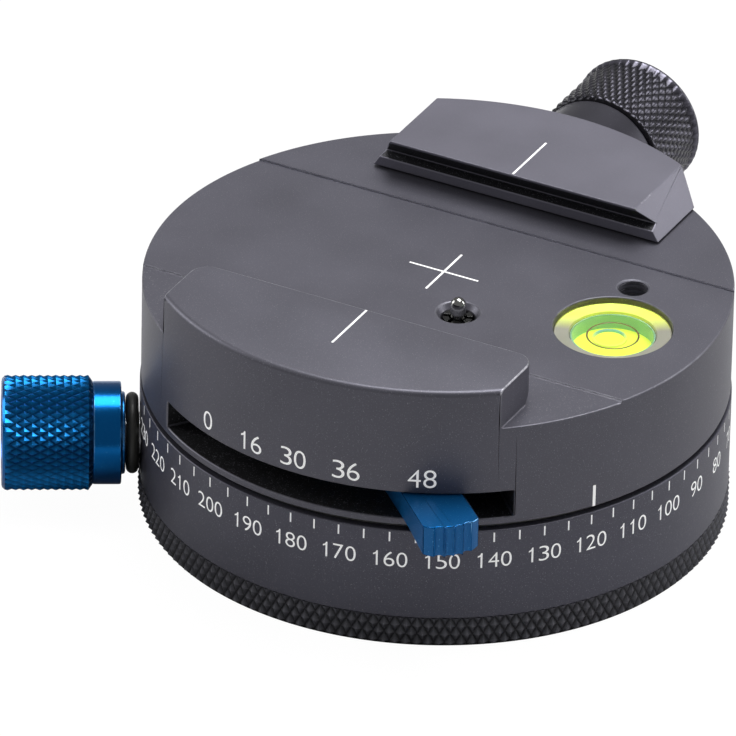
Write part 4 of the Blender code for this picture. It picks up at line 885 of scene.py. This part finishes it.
def makePin():
    p = pinSize
    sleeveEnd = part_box("pin_sleeve")[0].z
    sleeve = turned("pinSleeve", [
        (p["bore"], p["sleeveTop"]), (p["sleeve"], p["sleeveTop"]), (p["sleeve"], sleeveEnd),
        (p["bore"], sleeveEnd)], sides=96, hollow=True)
    half = p["notch"] / 2
    for i in range(p["notches"] // 2):
        bar = block("notch", (-2 * p["sleeve"], -half, p["sleeveTop"] - p["notchDepth"]),
                    (2 * p["sleeve"], half, p["sleeveTop"] + over))
        combine(sleeve, settle(bar, turn=(0, 0, i * tau / p["notches"] + p["notchTurn"])))
    paint(sleeve, blackSteel)
    breakEdges(sleeve, p["sleeveEdge"])
    settle(sleeve, rotor["pin"])
    finish(sleeve, "rotor", ["pin_sleeve"])
    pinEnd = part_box("safety_pin")[0].z
    dome = [(p["radius"] * math.cos(a), p["top"] - p["radius"] + p["radius"] * math.sin(a))
            for a in [math.radians(88 - 8 * i) for i in range(12)]]
    body = turned("safetyPin", dome + [(p["radius"], pinEnd)], sides=64)
    smooth(body, 50)
    settle(body, rotor["pin"])
    finish(body, "pin", ["safety_pin"], [chrome])


makePin()


# round level: a disc and a cup of liquid brightened with painted glow, a clear vial over it, a rim with
# painted light, a printed ring and a bubble

level = dict(radius=7.5 * mm, bore=5.55 * mm, top=31.26 * mm, window=0.9 * mm, bottom=27.16 * mm,
             cupFloor=28.3 * mm, cupWall=0.2 * mm, gap=0.1 * mm, core=0.4 * mm, rounding=0.25 * mm,
             rimNear=0.8 * mm, rimFar=4.6 * mm, discNear=1.5 * mm, discFar=3.5 * mm, ring=3.3 * mm,
             line=0.24 * mm, flatShare=0.3, bubble=2.05 * mm, bubbleLine=0.2 * mm,
             bubblePlace=(-0.1 * mm, -0.7 * mm), bubbleNear=-0.2 * mm, bubbleFar=1.2 * mm)


def hoop(name, radius, thickness, sides):
    deselectAll()
    bpy.ops.mesh.primitive_torus_add(major_radius=radius, minor_radius=thickness, major_segments=96,
                                     minor_segments=sides)
    piece = named(name)
    smooth(piece, 60)
    return piece


def makeLevel():
    v = level
    ceiling, gap = v["top"] - v["window"], v["gap"]
    middle = tuple(rotor["level"])
    vial = turned("levelVial", [
        (v["radius"], v["top"]), (v["radius"], v["bottom"]), (v["bore"], v["bottom"]),
        (v["bore"], ceiling)], sides=160)
    paint(vial, clearVial)
    breakEdges(vial, v["rounding"], segments=3)
    settle(vial, rotor["level"])
    finish(vial, "rotor", ["level_vial"])
    rim = turned("levelRim", [
        (v["bore"] + gap, ceiling + 3 * gap), (v["radius"] - 1.5 * gap, ceiling + 6 * gap),
        (v["radius"] - 1.5 * gap, v["bottom"] + 2 * gap), (v["bore"] + gap, v["bottom"] + 2 * gap)],
        sides=128, hollow=True)
    smooth(rim, 40)
    settle(rim, rotor["level"])
    # painted light: the rim glows yellow on the far side and grey on the near side, standing in for light
    # carried through the vial
    look = sidedMaterial("level rim painted light", (0.3, 0.29, 0.25), levelGlow, middle, v["rimNear"], v["rimFar"], 0.42)
    finish(rim, "rotor", (), [look])
    cup = turned("levelCup", [
        (v["bore"] - gap, ceiling - gap), (v["bore"] - gap, v["bottom"] + gap),
        (v["core"], v["bottom"] + gap), (v["core"], v["cupFloor"]),
        (v["bore"] - gap - v["cupWall"], v["cupFloor"]),
        (v["bore"] - gap - v["cupWall"], ceiling - gap)], sides=128, hollow=True)
    smooth(cup, 40)
    # the cup's floor takes the glowing yellow and its wall the glowing teal, both painted light
    paint(cup, cupWall, levelYellow)
    for face in cup.data.polygons:
        if abs(face.normal.z) > 0.9 and face.center.z < v["cupFloor"] + near:
            face.material_index = 1
    settle(cup, rotor["level"])
    floor = rod("levelFloor", v["core"] + gap, v["bottom"] + 2 * gap, v["cupFloor"] - 0.2 * near, 24,
                rotor["level"])
    paint(floor, levelYellow)
    whole = joinAll([cup, floor], "levelCup")
    finish(whole, "rotor", ["level_liquid"])
    discLow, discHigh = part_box("level_base")
    disc = turned("levelDisc", [(v["radius"], discHigh.z), (v["radius"], discLow.z)], sides=128)
    # painted light: the disc glows yellow on the far side and grey on the near side
    paint(disc, sidedMaterial("level disc painted light", (0.3, 0.29, 0.26), levelGlow, middle, v["discNear"],
                              v["discFar"], 0.4))
    breakEdges(disc, gap)
    settle(disc, rotor["level"])
    finish(disc, "rotor", ["level_base"])
    ring = hoop("levelRing", v["ring"], v["line"] / 2, 8)
    ring.scale.z = v["flatShare"]
    settle(ring, rotor["level"] + Vector((0, 0, ceiling - 1.2 * gap)))
    finish(ring, "rotor", (), [ringBrown])
    bubble = hoop("levelBubble", v["bubble"], v["bubbleLine"], 10)
    place = rotor["level"] + Vector((*v["bubblePlace"], ceiling - 2 * gap))
    settle(bubble, place)
    # painted light: the bubble's edge glows yellow on the near side and teal on the far side
    look = sidedMaterial("bubble edge painted light", levelGlow, (0.2, 0.5, 0.36), tuple(place), v["bubbleNear"],
                         v["bubbleFar"], 0.4)
    finish(bubble, "rotor", (), [look])


makeLevel()
print("level made")


# tripod bush with its thread, seen from below

bush = dict(radius=8.5 * mm, bore=4.76 * mm, root=4.74 * mm, crest=4.1 * mm, pitch=1.5875 * mm,
            mouth=0.5 * mm)


def makeBush():
    b = bush
    bushLow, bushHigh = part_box("tripod_bush")
    profile = [(b["crest"], bushHigh.z), (b["radius"], bushHigh.z), (b["radius"], bushLow.z),
               (b["bore"], bushLow.z)]
    z = bushLow.z + b["mouth"]
    while z + b["pitch"] < bushHigh.z:
        profile += [(b["crest"], z), (b["crest"], z + 0.12 * b["pitch"]), (b["root"], z + 0.5 * b["pitch"]),
                    (b["root"], z + 0.62 * b["pitch"])]
        z += b["pitch"]
    profile += [(b["crest"], z)]
    made = turned("tripodBush", profile, sides=128, hollow=True)
    smooth(made, 25)
    finish(made, "base", ["tripod_bush"], [steel])


makeBush()


# marks: the degree scale, the stop numbers, the index line, the cross and the jaws' middle lines

marks = dict(
    one=[(-0.02, 0), (0.09, 0), (0.09, 1), (0.02, 1), (-0.05, 0.87), (-0.19, 0.79), (-0.19, 0.69),
         (-0.02, 0.77)],
    thin=-0.009, figureWidth=0.64, advance=0.76, lift=0.02 * mm, scaleRadius=38.0 * mm, tickLow=15.23 * mm,
    tickHigh=16.6 * mm, tick=0.2 * mm, digitLow=11.55 * mm, digit=2.16 * mm, zeroAngle=88.86,
    stopMiddle=24.6 * mm, stopDigit=2.6 * mm, indexAngle=-30.6, indexLow=17.75 * mm, indexHigh=20.8 * mm,
    indexWidth=0.42 * mm, line=0.3 * mm, crossX=-0.2 * mm, crossY=1.9 * mm, crossArm=4.95 * mm,
    frontLine=(-29.1 * mm, -19.8 * mm), rearLine=(20.4 * mm, 29.8 * mm),
    stops={"0": -112.3, "16": -100.9, "30": -91.0, "36": -80.0, "48": -65.2})


def flatMark(width, low, high):
    deselectAll()
    bpy.ops.mesh.primitive_plane_add(size=1, location=(0, (low + high) / 2, 0))
    bpy.context.object.scale = (width, high - low, 1)
    freeze()
    return bpy.context.object


def makeGlyph(figure):
    # a flat figure one unit high whose middle is at the origin
    if figure == "1":
        deselectAll()
        bpy.ops.mesh.primitive_circle_add(vertices=len(marks["one"]), radius=mm, fill_type="NGON")
        piece = bpy.context.object
        for point, (x, y) in zip(piece.data.vertices, marks["one"]):
            point.co = (x, y - 0.5, 0)
        return piece
    deselectAll()
    bpy.ops.object.text_add()
    piece = bpy.context.object
    piece.data.body = figure
    piece.data.resolution_u = 6
    piece.data.offset = marks["thin"]
    bpy.ops.object.convert(target="MESH")
    piece = bpy.context.object
    xs = [point.co.x for point in piece.data.vertices]
    ys = [point.co.y for point in piece.data.vertices]
    for point in piece.data.vertices:
        point.co = ((point.co.x - (max(xs) + min(xs)) / 2) / (max(xs) - min(xs)) * marks["figureWidth"],
                    (point.co.y - (max(ys) + min(ys)) / 2) / (max(ys) - min(ys)), 0)
    return piece


glyphs = {}


def numberMark(text, height, middle):
    # figures at an even spacing, centred at x = 0, with their middle at a height y
    made = []
    for i, figure in enumerate(text):
        if figure not in glyphs:
            glyphs[figure] = makeGlyph(figure)
        piece = copyOf(glyphs[figure], "figure")
        for point in piece.data.vertices:
            point.co *= height
            point.co.x += (i - (len(text) - 1) / 2) * marks["advance"] * height
            point.co.y += middle
        made.append(piece)
    return joinAll(made, "number")


def wrapMark(piece, radius, degrees):
    # x runs round the cylinder to the right as it is seen from outside, y is the height
    outer = radius + marks["lift"]
    for point in piece.data.vertices:
        angle = math.radians(degrees) + point.co.x / radius
        point.co = (outer * math.cos(angle), outer * math.sin(angle), point.co.y)
    return piece


def makeScale():
    m = marks
    made = []
    for reading in range(0, 360, 5):
        degrees = m["zeroAngle"] - reading
        tick = flatMark(m["tick"], m["tickLow"], m["tickHigh"])
        made.append(wrapMark(tick, m["scaleRadius"], degrees))
        if reading % 10 == 0:
            number = numberMark(str(reading), m["digit"], m["digitLow"] + m["digit"] / 2)
            made.append(wrapMark(number, m["scaleRadius"], degrees))
    finish(joinAll(made, "degreeScale"), "base", (), [whiteFillGlow])
    made = []
    for text, degrees in m["stops"].items():
        made.append(wrapMark(numberMark(text, m["stopDigit"], m["stopMiddle"]), rotor["radius"], degrees))
    index = flatMark(m["indexWidth"], m["indexLow"], m["indexHigh"])
    made.append(wrapMark(index, rotor["radius"], m["indexAngle"]))
    finish(joinAll(made, "stopNumbers"), "rotor", (), [whiteFillGlow])
    for glyph in glyphs.values():
        bpy.data.objects.remove(glyph, do_unlink=True)


def lineMark(start, end, height):
    # a straight line on a level face
    start, end = Vector(start), Vector(end)
    along = end - start
    piece = flatMark(marks["line"], 0, along.length)
    turn = math.atan2(along.y, along.x) - math.pi / 2
    return settle(piece, (start.x, start.y, height + marks["lift"]), (0, 0, turn))


def makeLines():
    m = marks
    x, y, arm = m["crossX"], m["crossY"], m["crossArm"]
    front, rear = m["frontLine"], m["rearLine"]
    lines = joinAll([
        lineMark((x - arm, y), (x + arm, y), rotor["seat"]),
        lineMark((x, y - arm), (x, y + arm), rotor["seat"]),
        lineMark((0, front[0]), (0, front[1]), rotor["top"])], "seatLines")
    finish(lines, "rotor", (), [whiteFillGlow])
    line = lineMark((0, rear[0]), (0, rear[1]), slidingJaw["top"])
    line.name = "jawLine"
    finish(line, "jaw", (), [whiteFillGlow])


makeScale()
makeLines()
print("marks made")


# the nodes that keep their own shape get their finish

kept = {
    "pivot_bush": bronze, "brake_shoe": bronze, "glide_ring": glidePlastic, "index_disc": hardSteel,
    "brake_ring": wallSkin, "detent_plunger": hardSteel, "select_ball": hardSteel}
replaced = {
    "base_body", "lock_knob", "clamp_knob", "lock_ring", "rotor_body", "movable_jaw", "stop_lever",
    "pin_sleeve", "safety_pin", "level_vial", "level_liquid", "level_base", "tripod_bush"}
for name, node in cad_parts.items():
    if name not in replaced:
        for place in node.material_slots:
            place.material = kept.get(name, steel)


# floor, lights and camera

stage = dict(hole=37 * mm, reach=3.0, grey=(0.5, 0.5, 0.5, 1), glow=1.06, glowShare=0.92, daylight=0.29)
white = (1, 1, 1, 1)


def makeFloor():
    # open under the base and clear from below, so that the underside can be seen
    deselectAll()
    bpy.ops.mesh.primitive_circle_add(vertices=128, radius=stage["hole"], fill_type="NOTHING")
    floor = named("floor")
    share = stage["reach"] / stage["hole"]
    edit(floor)
    bpy.ops.mesh.extrude_region_move(TRANSFORM_OT_translate={"value": (0, 0, 0)})
    bpy.ops.transform.resize(value=(share, share, 1), center_override=(0, 0, 0))
    leaveEdit()
    if floor.data.polygons[0].normal.z < 0:
        floor.data.flip_normals()
    look = bpy.data.materials.new("white floor")
    look.use_nodes = True
    tree = look.node_tree
    tree.nodes.remove(tree.nodes["Principled BSDF"])
    dull = addNode(tree, "ShaderNodeBsdfDiffuse", {"Color": stage["grey"]})[0]
    glow = addNode(tree, "ShaderNodeEmission", {"Color": white, "Strength": stage["glow"]})[0]
    path = addNode(tree, "ShaderNodeLightPath")
    seen = arithmetic(tree, "MAXIMUM", path["Is Camera Ray"], path["Is Transmission Ray"])
    seen = arithmetic(tree, "MULTIPLY", seen, stage["glowShare"])
    top = addNode(tree, "ShaderNodeMixShader", {0: seen, 1: dull, 2: glow})[0]
    under = addNode(tree, "ShaderNodeNewGeometry")["Backfacing"]
    clear = addNode(tree, "ShaderNodeBsdfTransparent")[0]
    whole = addNode(tree, "ShaderNodeMixShader", {0: under, 1: top, 2: clear})[0]
    send(tree, tree.nodes["Material Output"].inputs, Surface=whole)
    paint(floor, look)


def makeWorld():
    world = bpy.data.worlds.new("studio")
    bpy.context.scene.world = world
    world.use_nodes = True
    tree = world.node_tree
    tree.nodes.remove(tree.nodes["Background"])
    dim = addNode(tree, "ShaderNodeBackground", {"Color": white, "Strength": stage["daylight"]})[0]
    bright = addNode(tree, "ShaderNodeBackground", {"Color": white, "Strength": 1.0})[0]
    seen = addNode(tree, "ShaderNodeLightPath")["Is Camera Ray"]
    both = addNode(tree, "ShaderNodeMixShader", {0: seen, 1: dim, 2: bright})[0]
    send(tree, tree.nodes["World Output"].inputs, Surface=both)


def softbox(name, place, target, width, height, power):
    deselectAll()
    bpy.ops.object.light_add(type="AREA", location=place)
    lamp = bpy.context.object
    lamp.name = name
    lamp.data.shape = "RECTANGLE"
    lamp.data.size = width
    lamp.data.size_y = height
    lamp.data.energy = power
    toward = Vector(target) - Vector(place)
    lamp.rotation_euler = toward.to_track_quat("-Z", "Y").to_euler()


makeFloor()
makeWorld()
softbox("overhead", (0.05, 0.25, 0.85), (0, 0, 0.02), 0.65, 0.5, 8.8)
softbox("left", (-0.8, -0.15, 0.35), (0, 0, 0.02), 0.4, 0.5, 2.8)
softbox("right", (0.7, 0.55, 0.35), (0, 0, 0.02), 0.3, 0.5, 2.6)

view = dict(place=(0.65256, -1.28338, 0.86323), around=math.radians(27.3), tilt=math.radians(90 - 30.405),
            roll=0.0217, lens=636.4, sensor=36.0)


def makeCamera():
    deselectAll()
    bpy.ops.object.camera_add(location=view["place"])
    camera = bpy.context.object
    camera.name = "camera"
    turn = Matrix.Rotation(view["around"], 3, "Z") @ Matrix.Rotation(view["tilt"], 3, "X")
    turn = turn @ Matrix.Rotation(view["roll"], 3, "Z")
    camera.rotation_euler = turn.to_euler()
    camera.data.lens = view["lens"]
    camera.data.sensor_width = view["sensor"]
    bpy.context.scene.camera = camera


makeCamera()
bpy.context.scene.view_settings.view_transform = "Standard"
bpy.context.view_layer.update()
print("scene made")
